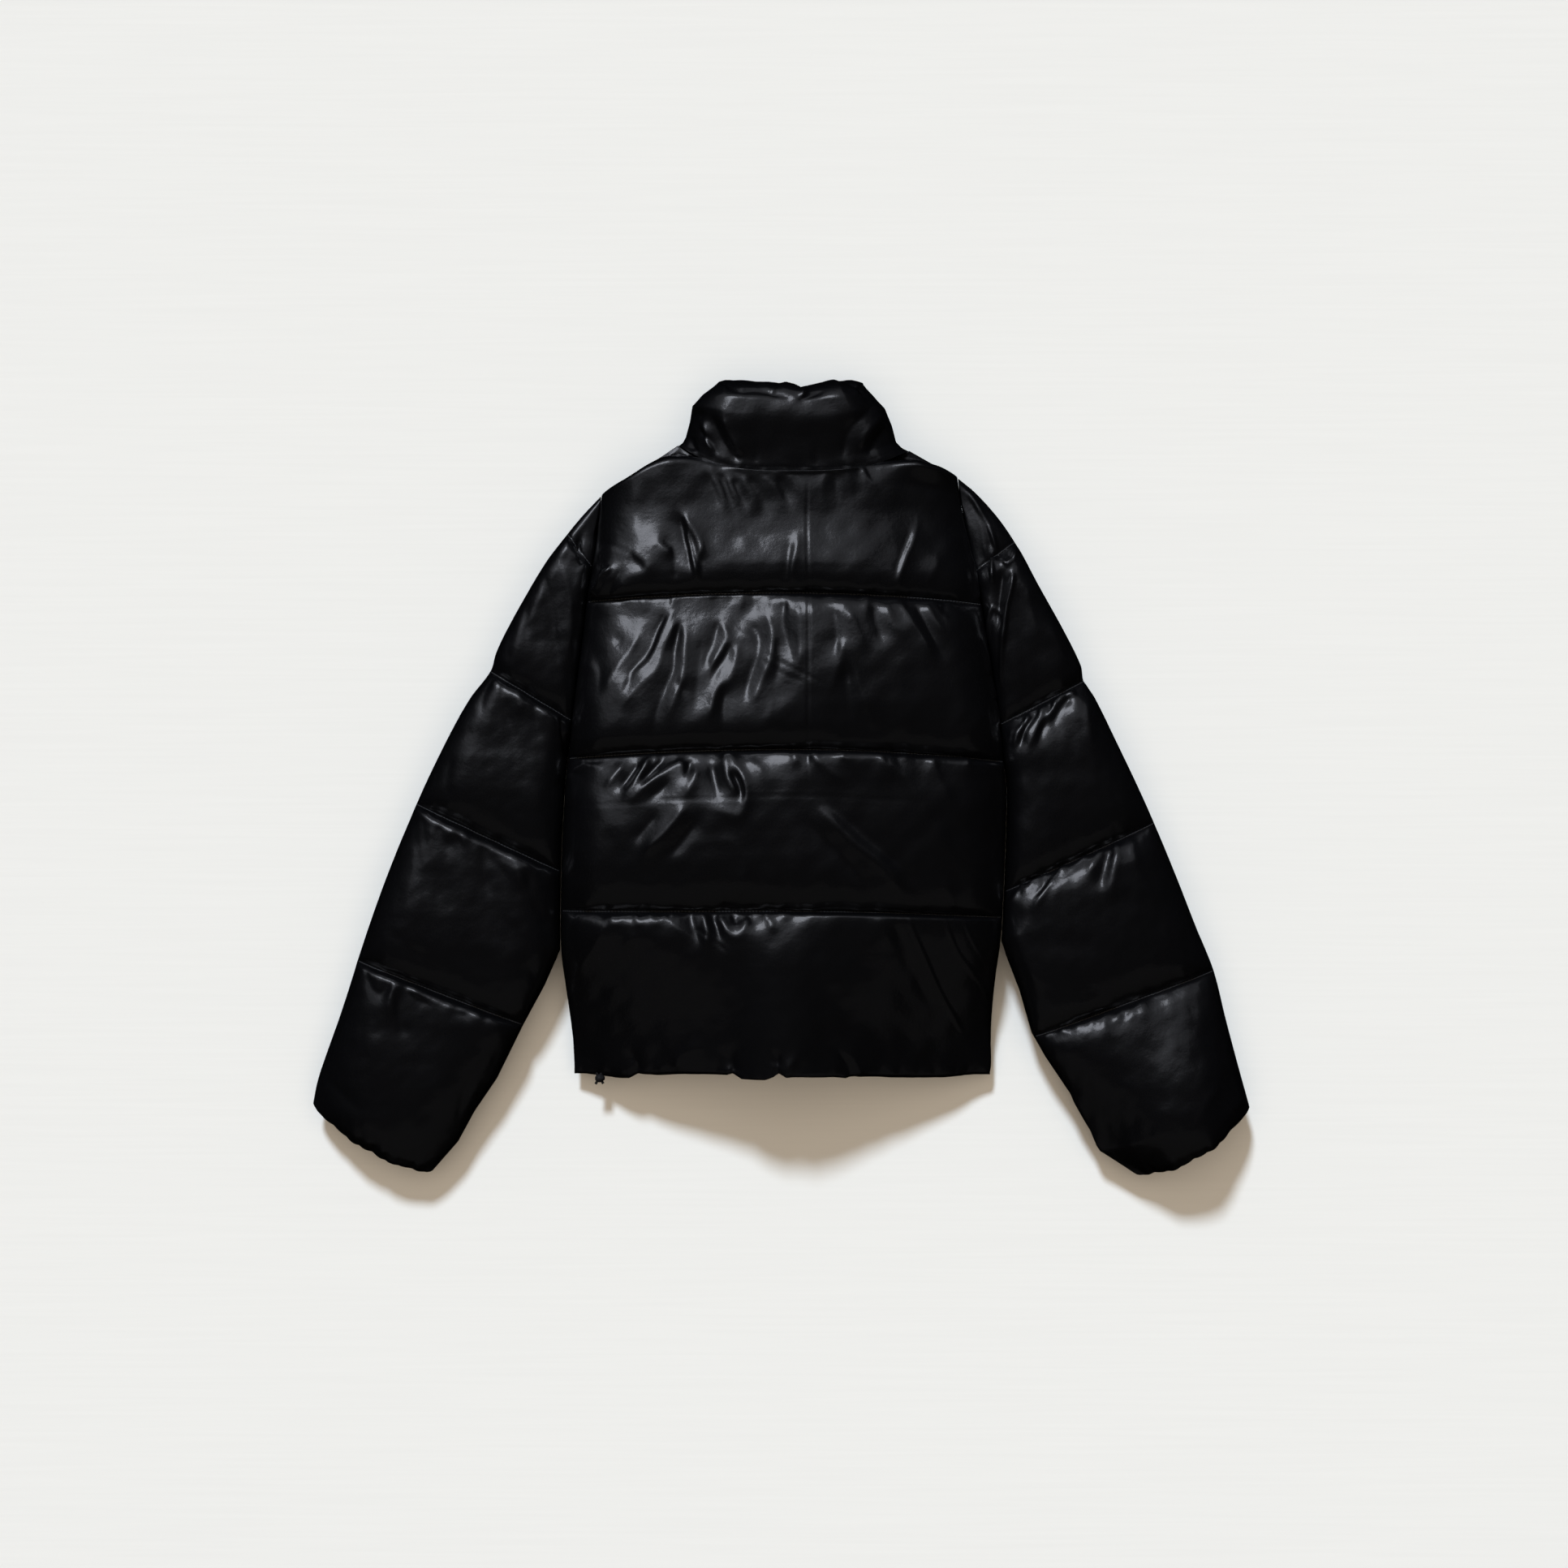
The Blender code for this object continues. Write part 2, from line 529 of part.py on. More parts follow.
# ---------------------------------------------------------------- collar
def make_collar(mat):
    """A padded strip wrapped round the neck, lying folded flat, open at the zip."""
    def ring(row):
        _, v, xl, xr, z_out, z_low = row
        o_row, l_row = [], []
        def top_y(t):
            ends = COLLAR_TOP["y_left"] if t < 0.5 else COLLAR_TOP["y_right"]
            return lerp(COLLAR_TOP["y_mid"], ends, (2 * t - 1) ** 2)
        def point(t, x, over, inward):
            cut = BACK_NECK if over else FRONT_NECK
            y0 = neck_y(t, cut) + SEAM_GAP
            y = lerp(y0, top_y(t), v)
            r = rounded(min(t, 1.0 - t) / 0.25)
            plane = Z_SEAM + 0.5
            if not inward:
                return (x, y, lerp(plane, z_out if over else z_low, r))
            if over:
                return (x, y, plane + (COLLAR_HOLLOW - 0.5) * r)
            return (x, y, plane - 1.0 * r)
        inset = COLLAR_WALL / (xr - xl)
        mid = centre_x(lerp(FRONT_NECK["low"], 388.0, v))
        # under, from the zip to the left fold
        for s in reversed(HALF_NECK_STEPS):
            t = 0.5 * s
            o_row.append(point(t, lerp(xl, mid - ZIP_HALF, s), False, False))
            tl = inset + (0.5 - inset) * s
            l_row.append(point(t, lerp(xl, mid - ZIP_HALF, inset * (1 - s) * 2 + s), False, True))
        # over, left fold to right fold
        for t in NECK_STEPS[1:]:
            o_row.append(point(t, lerp(xl, xr, t), True, False))
            tl = inset + (1.0 - 2.0 * inset) * t
            l_row.append(point(t, lerp(xl, xr, tl), True, True))
        # under, right fold to the zip
        for s in HALF_NECK_STEPS[1:]:
            t = 1.0 - 0.5 * s
            o_row.append(point(t, lerp(xr, mid + ZIP_HALF, s), False, False))
            l_row.append(point(t, lerp(xr, mid + ZIP_HALF, inset * (1 - s) * 2 + s), False, True))
        # the edges at the zip are rounded
        for j in (0, len(o_row) - 1):
            x, y, z = o_row[j]
            o_row[j] = (x, y, max(z, 15.0))
        return o_row, l_row
    outer, lining = zip(*(ring(r) for r in COLLAR_ROWS))
    return padded_wall("collar", outer, lining, mat)


# ---------------------------------------------------------------- zip, knot
def make_zip(mat):
    """The closed chain with its tape edges, a thin strip between the two fronts."""
    stations = (-287.0, -100.0, 100.0, FRONT_NECK["low"], 330.0, 384.0)
    verts, faces = [], []
    for y in stations:
        x = centre_x(y)
        h, b = 0.5 * ZIP_WIDE, 0.8
        ring = ((-h, 0.8), (-h + 2.4, 0.8), (-h + 3.0, 0.0), (h - 3.0, 0.0), (h - 2.4, 0.8), (h, 0.8),
                (h, 1.6), (h - 2.4, 1.6), (h - 3.0, ZIP_THICK), (-h + 3.0, ZIP_THICK), (-h + 2.4, 1.6), (-h, 1.6))
        for dx, dz in ring:
            verts.append((x + dx, y, ZIP_Z + dz))
    n = 12
    for i in range(len(stations) - 1):
        for j in range(n):
            k = (j + 1) % n
            faces.append((i * n + j, i * n + k, (i + 1) * n + k, (i + 1) * n + j))
    faces.append(tuple(range(n)))
    faces.append(tuple(reversed(range((len(stations) - 1) * n, len(stations) * n))))
    return add_mesh("zip_chain", verts, faces, mat)


def box(name, low, high):
    verts = [(x, y, z) for x in (low[0], high[0]) for y in (low[1], high[1]) for z in (low[2], high[2])]
    faces = [(0, 1, 3, 2), (4, 6, 7, 5), (0, 4, 5, 1), (2, 3, 7, 6), (0, 2, 6, 4), (1, 5, 7, 3)]
    mesh = bpy.data.meshes.new(name)
    mesh.from_pydata([(a * MM, b * MM, c * MM) for a, b, c in verts], [], faces)
    bm = bmesh.new()
    bm.from_mesh(mesh)
    bmesh.ops.recalc_face_normals(bm, faces=bm.faces)
    bm.to_mesh(mesh)
    bm.free()
    obj = bpy.data.objects.new(name, mesh)
    bpy.context.scene.collection.objects.link(obj)
    return obj


def tool(obj):
    obj.hide_render = True
    obj.display_type = "WIRE"
    return obj


def cut(obj, other, operation):
    mod = obj.modifiers.new(other.name, "BOOLEAN")
    mod.operation = operation
    mod.object = other
    mod.solver = "EXACT"


def make_slider(mat):
    """Slider at the top of the zip, with the bridge that its pull hangs on."""
    x, y = centre_x(SLIDER["y"]), SLIDER["y"]
    z1 = ZIP_Z - SEAM_GAP
    z0 = z1 - SLIDER["thick"]
    h = 0.5 * SLIDER["wide"]
    body = box("zip_slider", (x - h, y - 0.5 * SLIDER["long"], z0), (x + h, y + 0.5 * SLIDER["long"], z1))
    b = 0.5 * BRIDGE["wide"]
    bridge = tool(box("bridge_solid", (x - b, y - BRIDGE["half_long"], z0 - BRIDGE["deep"]), (x + b, y + BRIDGE["half_long"], z0 + 1.0)))
    window = tool(box("bridge_window", (x - 5, y - BRIDGE["window_half"], z0 - BRIDGE["window_deep"]), (x + 5, y + BRIDGE["window_half"], z0)))
    cut(body, bridge, "UNION")
    cut(body, window, "DIFFERENCE")
    body.data.materials.append(mat)
    return body, (x, y, z0 - 0.5 * BRIDGE["window_deep"])


def make_pull(pivot, mat):
    """The pull: a flat tab with a slot, hung by its end bar in the slider's bridge."""
    h, t = 0.5 * PULL["wide"], 0.5 * PULL["thick"]
    bar = 0.5 * PULL["bar"]
    tab = box("zip_pull", (-h, -PULL["long"], -t), (h, bar, t))
    slot = tool(box("pull_slot", (-0.5 * PULL["slot_wide"], -bar - PULL["slot_long"], -5), (0.5 * PULL["slot_wide"], -bar, 5)))
    cut(tab, slot, "DIFFERENCE")
    for o in (tab, slot):
        o.location = (pivot[0] * MM, pivot[1] * MM, pivot[2] * MM)
        o.rotation_euler = (math.radians(PULL_LEAN), 0.0, 0.0)
    tab.data.materials.append(mat)
    return tab


def make_knot(mat):
    """The tied end of the hem's elastic cord, with its two short ends."""
    k = KNOT
    bm = bmesh.new()
    bmesh.ops.create_icosphere(bm, subdivisions=2, radius=k["r"] * MM)
    for v in bm.verts:
        a = math.atan2(v.co.y, v.co.x)
        v.co.x *= 1.12 + 0.1 * math.cos(3 * a)
        v.co.y *= 0.92 + 0.1 * math.sin(2 * a)
        v.co += Vector((k["x"] * MM, k["y"] * MM, k["z"] * MM))
    mesh = bpy.data.meshes.new("hem_cord_knot")
    bmesh.ops.recalc_face_normals(bm, faces=bm.faces)
    bm.to_mesh(mesh)
    bm.free()
    mesh.shade_smooth()
    obj = bpy.data.objects.new("hem_cord_knot", mesh)
    mesh.materials.append(mat)
    bpy.context.scene.collection.objects.link(obj)
    for n, lean in enumerate((-28.0, 34.0)):
        bm = bmesh.new()
        bmesh.ops.create_cone(bm, cap_ends=True, segments=8, radius1=k["stub_r"] * MM, radius2=k["stub_r"] * MM, depth=2 * k["stub_long"] * MM)
        mesh = bpy.data.meshes.new("cord_end_%d" % n)
        bm.to_mesh(mesh)
        bm.free()
        end = tool(bpy.data.objects.new("cord_end_%d" % n, mesh))
        bpy.context.scene.collection.objects.link(end)
        end.location = (k["x"] * MM, k["y"] * MM, k["z"] * MM)
        end.rotation_euler = (math.radians(90.0), 0.0, math.radians(lean))
        if n == 0:
            end.location.x -= 0.001
        cut(obj, end, "UNION")
    return obj


def main():
    for o in list(bpy.data.objects):
        bpy.data.objects.remove(o, do_unlink=True)
    shell = material("glossy_nylon", SHELL, 0.22)
    metal = material("black_metal", METAL, 0.3, 1.0)
    tape = material("zip_tape", (0.01, 0.01, 0.011, 1.0), 0.6)
    cord = material("elastic_cord", (0.008, 0.008, 0.009, 1.0), 0.7)
    make_back(shell)
    make_front("front_left", True, shell)
    make_front("front_right", False, shell)
    make_sleeve("sleeve_left", True, shell)
    make_sleeve("sleeve_right", False, shell)
    make_collar(shell)
    make_zip(tape)
    _, pivot = make_slider(metal)
    make_pull(pivot, metal)
    make_knot(cord)


main()
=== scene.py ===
"""Visual model of the cropped puffer jacket, lying on its front with its back up.

Millimetres inside, metres in the meshes; +Z up, +Y towards the collar, -X the wearer's left.
Every cloth piece is one fine skin of rows and columns worked out from the same driving
tables as the solids: its puffs, then its creases, placed on a chart, the small
gathers along each seam, and last the cloth drawn taut between them.
"""

import math

import bpy
import numpy as np
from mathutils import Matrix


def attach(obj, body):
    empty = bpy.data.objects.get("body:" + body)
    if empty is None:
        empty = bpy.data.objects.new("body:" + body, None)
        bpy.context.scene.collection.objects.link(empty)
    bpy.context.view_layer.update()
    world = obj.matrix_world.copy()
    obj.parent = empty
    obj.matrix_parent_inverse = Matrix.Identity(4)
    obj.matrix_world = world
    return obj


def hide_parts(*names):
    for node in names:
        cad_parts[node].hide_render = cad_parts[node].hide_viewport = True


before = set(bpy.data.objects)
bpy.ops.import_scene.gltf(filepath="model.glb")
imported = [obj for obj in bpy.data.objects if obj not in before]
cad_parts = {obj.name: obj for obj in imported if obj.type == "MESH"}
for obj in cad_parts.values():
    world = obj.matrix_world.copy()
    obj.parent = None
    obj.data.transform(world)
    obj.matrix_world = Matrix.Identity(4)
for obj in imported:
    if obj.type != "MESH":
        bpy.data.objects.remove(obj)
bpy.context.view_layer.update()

MM = 0.001

# ---------------------------------------------------------------- driving tables, mm
Z_SEAM = 40.0
EDGE_ROUND = 46.0
ARMHOLE_OPEN = 9.5
HEM_SEAM_DROP = 21.0                   # how much lower the side seams lie at the hem
CHART = 0.8                           # side of one square of the crease chart

EDGE_LEFT = (
    (278.8, -177.6), (228.0, -183.5), (172.0, -192.0), (123.0, -198.0), (56.0, -206.5),
    (20.0, -210.5), (-40.0, -215.0), (-92.0, -217.0), (-169.0, -217.6), (-204.0, -213.6),
    (-235.0, -209.5), (-267.0, -206.0), (-291.0, -205.6),
)
EDGE_RIGHT = (
    (296.4, 173.6), (262.0, 178.5), (172.0, 197.0), (124.0, 204.5), (81.0, 211.0),
    (20.0, 219.0), (-26.0, 221.5), (-118.0, 218.5), (-160.0, 216.0), (-204.0, 210.5),
    (-251.0, 207.5), (-282.0, 208.0), (-292.0, 206.5),
)
UNDERARM_LEFT, UNDERARM_RIGHT = 20.0, 12.0
NECK_LEFT, NECK_RIGHT = (-101.6, 328.0), (125.6, 322.6)
BACK_NECK = dict(low=300.5, power=3.2)
FRONT_NECK = dict(low=272.0, power=2.4)

# body lines: y at left edge, middle, right edge; back's height at middle and sides, then the
# height of the puff that follows, at middle and sides
BODY_LINES = (
    ((173.2, 181.2, 170.8), 80.0, 65.0, 106.5, 91.0),
    ((19.6, 28.4, 16.4), 87.0, 67.0, 109.0, 86.0),
    ((-130.0, -129.2, -136.4), 87.0, 64.0, 107.0, 78.0),
    ((-289.2, -288.4, -290.0), 102.0, 34.0, 0.0, 0.0),
)
TOP_ROW = (86.0, 60.0, 95.0, 72.5)

# how each of the back's four puffs rises from its upper line to its lower one: share of the
# way, share of the height
BACK_SHAPES = (
    ((0, 0), (0.03, 0.01), (0.1, 0.04), (0.25, 0.12), (0.38, 0.25), (0.5, 0.44), (0.61, 0.68),
     (0.70, 0.89), (0.77, 0.99), (0.82, 1.0), (0.88, 0.93), (0.94, 0.74), (0.975, 0.46), (1, 0)),
    ((0, 0), (0.008, 0.16), (0.02, 0.21), (0.06, 0.235), (0.12, 0.27), (0.2, 0.345), (0.34, 0.51), (0.48, 0.69),
     (0.62, 0.85), (0.73, 0.96), (0.81, 1.0), (0.88, 0.94), (0.94, 0.73), (0.98, 0.42), (1, 0)),
    ((0, 0), (0.015, 0.20), (0.05, 0.37), (0.11, 0.56), (0.2, 0.77), (0.33, 0.93), (0.48, 1.0),
     (0.64, 0.98), (0.8, 0.84), (0.92, 0.55), (0.98, 0.24), (1, 0)),
    ((0, 0), (0.015, 0.24), (0.045, 0.44), (0.10, 0.67), (0.18, 0.86), (0.3, 0.98), (0.45, 1.0),
     (0.62, 0.97), (0.8, 0.85), (0.92, 0.60), (0.98, 0.28), (1, 0)),
)
BACK_SHAPES_RIGHT = (
    BACK_SHAPES[0],
    ((0, 0), (0.012, 0.30), (0.035, 0.54), (0.08, 0.73), (0.17, 0.87), (0.3, 0.95), (0.46, 1.0),
     (0.66, 0.97), (0.8, 0.86), (0.92, 0.62), (0.98, 0.30), (1, 0)),
    ((0, 0), (0.008, 0.45), (0.018, 0.77), (0.03, 0.92), (0.048, 0.975), (0.1, 1.0), (0.4, 1.0),
     (0.62, 0.97), (0.8, 0.85), (0.92, 0.60), (0.98, 0.28), (1, 0)),
    ((0, 0), (0.006, 0.5), (0.013, 0.82), (0.021, 0.955), (0.032, 0.99), (0.06, 1.0), (0.35, 1.0),
     (0.62, 0.98), (0.8, 0.86), (0.92, 0.60), (0.98, 0.28), (1, 0)),
)
# the lowest puff is as sharp at its left end
LOW_LEFT_SHAPE = ((0, 0), (0.012, 0.34), (0.03, 0.64), (0.055, 0.84), (0.09, 0.94), (0.16, 0.985), (0.4, 1.0),
                  (0.62, 0.98), (0.8, 0.86), (0.92, 0.60), (0.98, 0.28), (1, 0))
# height of the back along the hem: chart x, mm
HEM_HEIGHT = ((706, 22), (731, 28), (785, 50), (841, 67), (896, 81), (930, 92), (953, 99), (972, 101), (990, 98), (1014, 91),
              (1080, 71), (1146, 48), (1195, 32), (1213, 26), (1230, 23))
SLEEVE_SHAPE_LEFT = ((0, 0), (0.008, 0.34), (0.02, 0.67), (0.036, 0.87), (0.06, 0.955), (0.12, 0.99), (0.3, 1.0),
                     (0.58, 0.99), (0.75, 0.90), (0.88, 0.70), (0.96, 0.36), (1, 0))
SLEEVE_SHAPE_RIGHT = ((0, 0), (0.02, 0.28), (0.05, 0.52), (0.10, 0.75), (0.18, 0.91), (0.3, 0.99), (0.42, 1.0),
                      (0.58, 0.99), (0.75, 0.90), (0.88, 0.70), (0.96, 0.36), (1, 0))

SLEEVE_LEFT_LINES = (
    (278.4, 249.0, 40.15, 50.0, 55.0, 26.0),
    (241.2, 208.4, 40.15, 54.0, 68.0, 20.0),
    (106.0, 57.2, 40.15, 55.0, 72.0, 14.0),
    (-24.8, -91.6, 36.0, 53.0, 71.0, 12.0),
    (-179.2, -242.8, 32.0, 50.0, 65.0, 11.0),
    (-320.8, -387.6, 28.0, 45.0, 0.0, 8.0),
)
SLEEVE_LEFT_OUTER = (
    (278.8, -178.0), (258.8, -196.8), (241.2, -211.2), (214.0, -232.0), (182.8, -251.0),
    (146.8, -271.2), (124.4, -281.6), (106.0, -287.4), (79.6, -307.2), (34.8, -332.0),
    (-24.4, -360.4), (-99.6, -391.2), (-179.0, -419.2), (-234.0, -436.8), (-278.8, -452.8),
    (-301.2, -460.0), (-322.0, -464.0),
)
SLEEVE_LEFT_INNER = (
    (-169.0, -218.8), (-204.4, -234.4), (-242.8, -255.2), (-296.4, -281.6),
    (-329.2, -304.0), (-358.8, -320.0), (-388.0, -345.6),
)
SLEEVE_RIGHT_LINES = (
    (296.0, 258.0, 40.15, 50.0, 55.0, 26.0),
    (233.2, 204.0, 40.15, 54.0, 68.0, 20.0),
    (96.0, 53.2, 40.15, 55.0, 72.0, 14.0),
    (-43.6, -111.6, 36.0, 53.0, 71.0, 12.0),
    (-189.2, -254.8, 32.0, 50.0, 65.0, 11.0),
    (-323.6, -390.0, 28.0, 45.0, 0.0, 8.0),
)
SLEEVE_RIGHT_OUTER = (
    (296.4, 174.0), (281.2, 192.0), (258.8, 211.2), (233.2, 230.0), (191.6, 252.8),
    (146.8, 277.6), (112.0, 295.0), (96.0, 298.2), (79.6, 308.8), (34.8, 331.2),
    (-10.0, 352.8), (-43.6, 368.0), (-99.6, 391.2), (-144.4, 408.8), (-189.2, 427.2),
    (-234.0, 438.4), (-278.8, 450.4), (-325.0, 463.4),
)
SLEEVE_RIGHT_INNER = (
    (-160.0, 217.2), (-178.0, 223.2), (-209.2, 235.2), (-250.8, 247.2), (-274.8, 260.8),
    (-311.6, 285.6), (-347.6, 306.4), (-368.4, 315.2), (-390.5, 349.6),
)
CUFF_BOW_LEFT, CUFF_BOW_RIGHT = 13.0, 16.0

# collar rows: share of the way up, x of left and right folds, height of outside, underside
COLLAR_ROWS = (
    (0.0, -101.6, 125.6, 75.0, 13.0),
    (0.05, -97.5, 119.0, 76.5, 8.0),
    (0.14, -94.5, 113.0, 78.0, 3.0),
    (0.38, -90.5, 109.0, 82.0, 0.6),
    (0.64, -88.0, 102.0, 86.0, 0.6),
    (0.80, -78.5, 92.0, 86.0, 1.5),
    (0.91, -68.5, 84.5, 80.5, 5.0),
    (0.97, -64.0, 81.2, 72.0, 10.0),
    (1.0, -62.4, 80.4, 63.0, 14.0),
)
COLLAR_TOP = (390.0, 386.5, 389.0)


# ---------------------------------------------------------------- small helpers
def lerp(a, b, t):
    return a + (b - a) * t


def smooth_at(table, y):
    """x at y on a smooth curve through (y, x) rows, y falling down the table."""
    ys = np.array([r[0] for r in table], float)
    xs = np.array([r[1] for r in table], float)
    n = len(ys)
    y = np.clip(np.asarray(y, float), ys[-1], ys[0])
    k = np.clip(np.searchsorted(-ys, -y, side="right") - 1, 0, n - 2)
    a, b = np.maximum(np.arange(n) - 1, 0), np.minimum(np.arange(n) + 1, n - 1)
    slope = (xs[b] - xs[a]) / (ys[b] - ys[a])
    h = ys[k + 1] - ys[k]
    t = (y - ys[k]) / h
    t2, t3 = t * t, t * t * t
    return ((2 * t3 - 3 * t2 + 1) * xs[k] + (t3 - 2 * t2 + t) * h * slope[k]
            + (-2 * t3 + 3 * t2) * xs[k + 1] + (t3 - t2) * h * slope[k + 1])


def straight_at(table, y):
    ys = np.array([r[0] for r in table], float)[::-1]
    xs = np.array([r[1] for r in table], float)[::-1]
    return np.interp(y, ys, xs)


def soft_table(pairs, t):
    """Monotone smooth curve through (t, value) pairs, t rising."""
    xs = np.array([p[0] for p in pairs], float)
    ys = np.array([p[1] for p in pairs], float)
    h, d = np.diff(xs), np.diff(ys) / np.diff(xs)
    m = np.zeros(len(xs))
    m[0], m[-1] = d[0], d[-1]
    for i in range(1, len(xs) - 1):
        if d[i - 1] * d[i] > 0:
            w1, w2 = 2 * h[i] + h[i - 1], h[i] + 2 * h[i - 1]
            m[i] = (w1 + w2) / (w1 / d[i - 1] + w2 / d[i])
    t = np.clip(np.asarray(t, float), xs[0], xs[-1])
    k = np.clip(np.searchsorted(xs, t, side="right") - 1, 0, len(xs) - 2)
    s = (t - xs[k]) / h[k]
    s2, s3 = s * s, s * s * s
    return ((2 * s3 - 3 * s2 + 1) * ys[k] + (s3 - 2 * s2 + s) * h[k] * m[k]
            + (-2 * s3 + 3 * s2) * ys[k + 1] + (s3 - s2) * h[k] * m[k + 1])


def rounded(t, power=2.4):
    t = np.clip(t, 0.0, 1.0)
    return (1.0 - (1.0 - t) ** power) ** (1.0 / power)


def step(t):
    t = np.clip(t, 0.0, 1.0)
    return t * t * (3 - 2 * t)


def armhole(y, top, underarm):
    f = (y - underarm) / (top - underarm)
    return np.where((f > 0) & (f < 1), 4 * f * (1 - f), 0.0)


def seam_z(y):
    """Height of the side seams: they sink towards the hem."""
    return Z_SEAM - HEM_SEAM_DROP * step((-150.0 - np.asarray(y, float)) / 130.0)


def centre_x(y):
    low = FRONT_NECK["low"]
    return np.where(np.asarray(y) < low, lerp(0.4, 12.0, (y + 289.0) / (low + 289.0)),
                    lerp(12.0, 10.0, (y - low) / 116.0))


def neck_y(t, cut):
    ends = lerp(NECK_LEFT[1], NECK_RIGHT[1], t)
    return lerp(cut["low"], ends, np.abs(2.0 * t - 1.0) ** cut["power"])


def quilt_y(line, u):
    yl, ym, yr = line
    return lerp(ym, np.where(u < 0.5, yl, yr), (2.0 * u - 1.0) ** 2)


def dense(count, pull=0.65):
    """Shares from 0 to 1 that crowd towards both ends."""
    t = np.linspace(0.0, 1.0, max(4, count) + 1)
    return lerp(t, 0.5 - 0.5 * np.cos(np.pi * t), pull)


def noise_field(x, y, size, seed, octaves=3):
    """Soft uneven field of about -1 to 1, the same on every run."""
    rng = np.random.default_rng(seed)
    total, weight = np.zeros_like(x), 0.0
    for o in range(octaves):
        part = np.zeros_like(x)
        for _ in range(7):
            a = rng.uniform(0, 2 * math.pi)
            k = 2 * math.pi / (size / 2 ** o) * rng.uniform(0.6, 1.25)
            part += np.sin(k * (x * math.cos(a) + y * math.sin(a)) + rng.uniform(0, 2 * math.pi))
        total += part / 2.6 * 0.5 ** o
        weight += 0.5 ** o
    return total / weight


# ---------------------------------------------------------------- creases
def chart(points):
    """Chart squares to millimetres; the chart's zero is its upper left corner."""
    return [((x - 963.0) * CHART, (959.5 - y) * CHART) for x, y in points]


def run_through(points, step_mm=5.0):
    """A smooth path through points, as an array of short runs."""
    p = np.array(points, float)
    if len(p) == 2:
        n = max(2, int(np.hypot(*(p[1] - p[0])) / step_mm))
        return p[0] + (p[1] - p[0]) * np.linspace(0, 1, n + 1)[:, None]
    ext = np.vstack([2 * p[0] - p[1], p, 2 * p[-1] - p[-2]])
    out = []
    for i in range(1, len(ext) - 2):
        a, b, c, d = ext[i - 1:i + 3]
        n = max(1, int(np.hypot(*(c - b)) / step_mm))
        for k in range(n):
            t = k / n
            out.append(0.5 * (2 * b + (c - a) * t + (2 * a - 5 * b + 4 * c - d) * t * t
                              + (3 * b - a - 3 * c + d) * t ** 3))
    out.append(p[-1])
    return np.array(out)


def beside(x, y, path, reach):
    """Points within reach of a path: which, how far off, which side, share of the way along."""
    path = np.asarray(path, float)
    x0, y0 = path.min(0) - reach
    x1, y1 = path.max(0) + reach
    rows = np.nonzero((x > x0) & (x < x1) & (y > y0) & (y < y1))
    px, py = x[rows], y[rows]
    seg = np.diff(path, axis=0)
    lens = np.hypot(seg[:, 0], seg[:, 1]) + 1e-9
    start = np.concatenate([[0], np.cumsum(lens)])
    best = np.full(px.shape, 1e9)
    along, side = np.zeros(px.shape), np.zeros(px.shape)
    for i in range(len(seg)):
        dx, dy = px - path[i, 0], py - path[i, 1]
        t = np.clip((dx * seg[i, 0] + dy * seg[i, 1]) / lens[i] ** 2, 0, 1)
        ex, ey = dx - t * seg[i, 0], dy - t * seg[i, 1]
        d = ex * ex + ey * ey
        nearer = d < best
        best = np.where(nearer, d, best)
        along = np.where(nearer, start[i] + t * lens[i], along)
        side = np.where(nearer, seg[i, 0] * dy - seg[i, 1] * dx, side)
    return rows, np.sqrt(best), side, along / start[-1]


def crease(field, x, y, path, high, wide, fade=(0.25, 0.35), lean=0.0, hat=0.15):
    """Adds one soft ridge (high > 0) or trough to field.

    wide is its half width, lean makes one flank steeper than the other, fade is how much
    of its length each end takes to rise and die away, hat is how deep it sinks beside.
    """
    rows, d, side, s = beside(x, y, path, wide * 3.6)
    if len(rows[0]) == 0:
        return
    q = d / (wide * (1.0 + lean * np.sign(side)))
    size = step(s / max(fade[0], 1e-3)) * step((1 - s) / max(fade[1], 1e-3))
    size = size * (0.65 + 0.35 * np.sin(np.pi * s))
    field[rows] += high * size * (np.exp(-q * q) - hat * np.exp(-(q - 1.7) ** 2))


def pin(pins, x, y, path, high, wide, fade=(0.25, 0.35), hold=2.5):
    """Holds the cloth at a height along a crest (high > 0) or a valley, loosening at its ends."""
    near = max(1.1, 0.2 * wide)
    rows, d, side, s = beside(x, y, path, near * 2.6)
    if len(rows[0]) == 0:
        return
    free = step(s / max(fade[0], 1e-3)) * step((1 - s) / max(fade[1], 1e-3))
    c = hold * np.exp(-(d / near) ** 2) * (0.02 + free ** 1.5)
    pins[0][rows] += c
    pins[1][rows] += c * high * (0.35 + 0.65 * free)


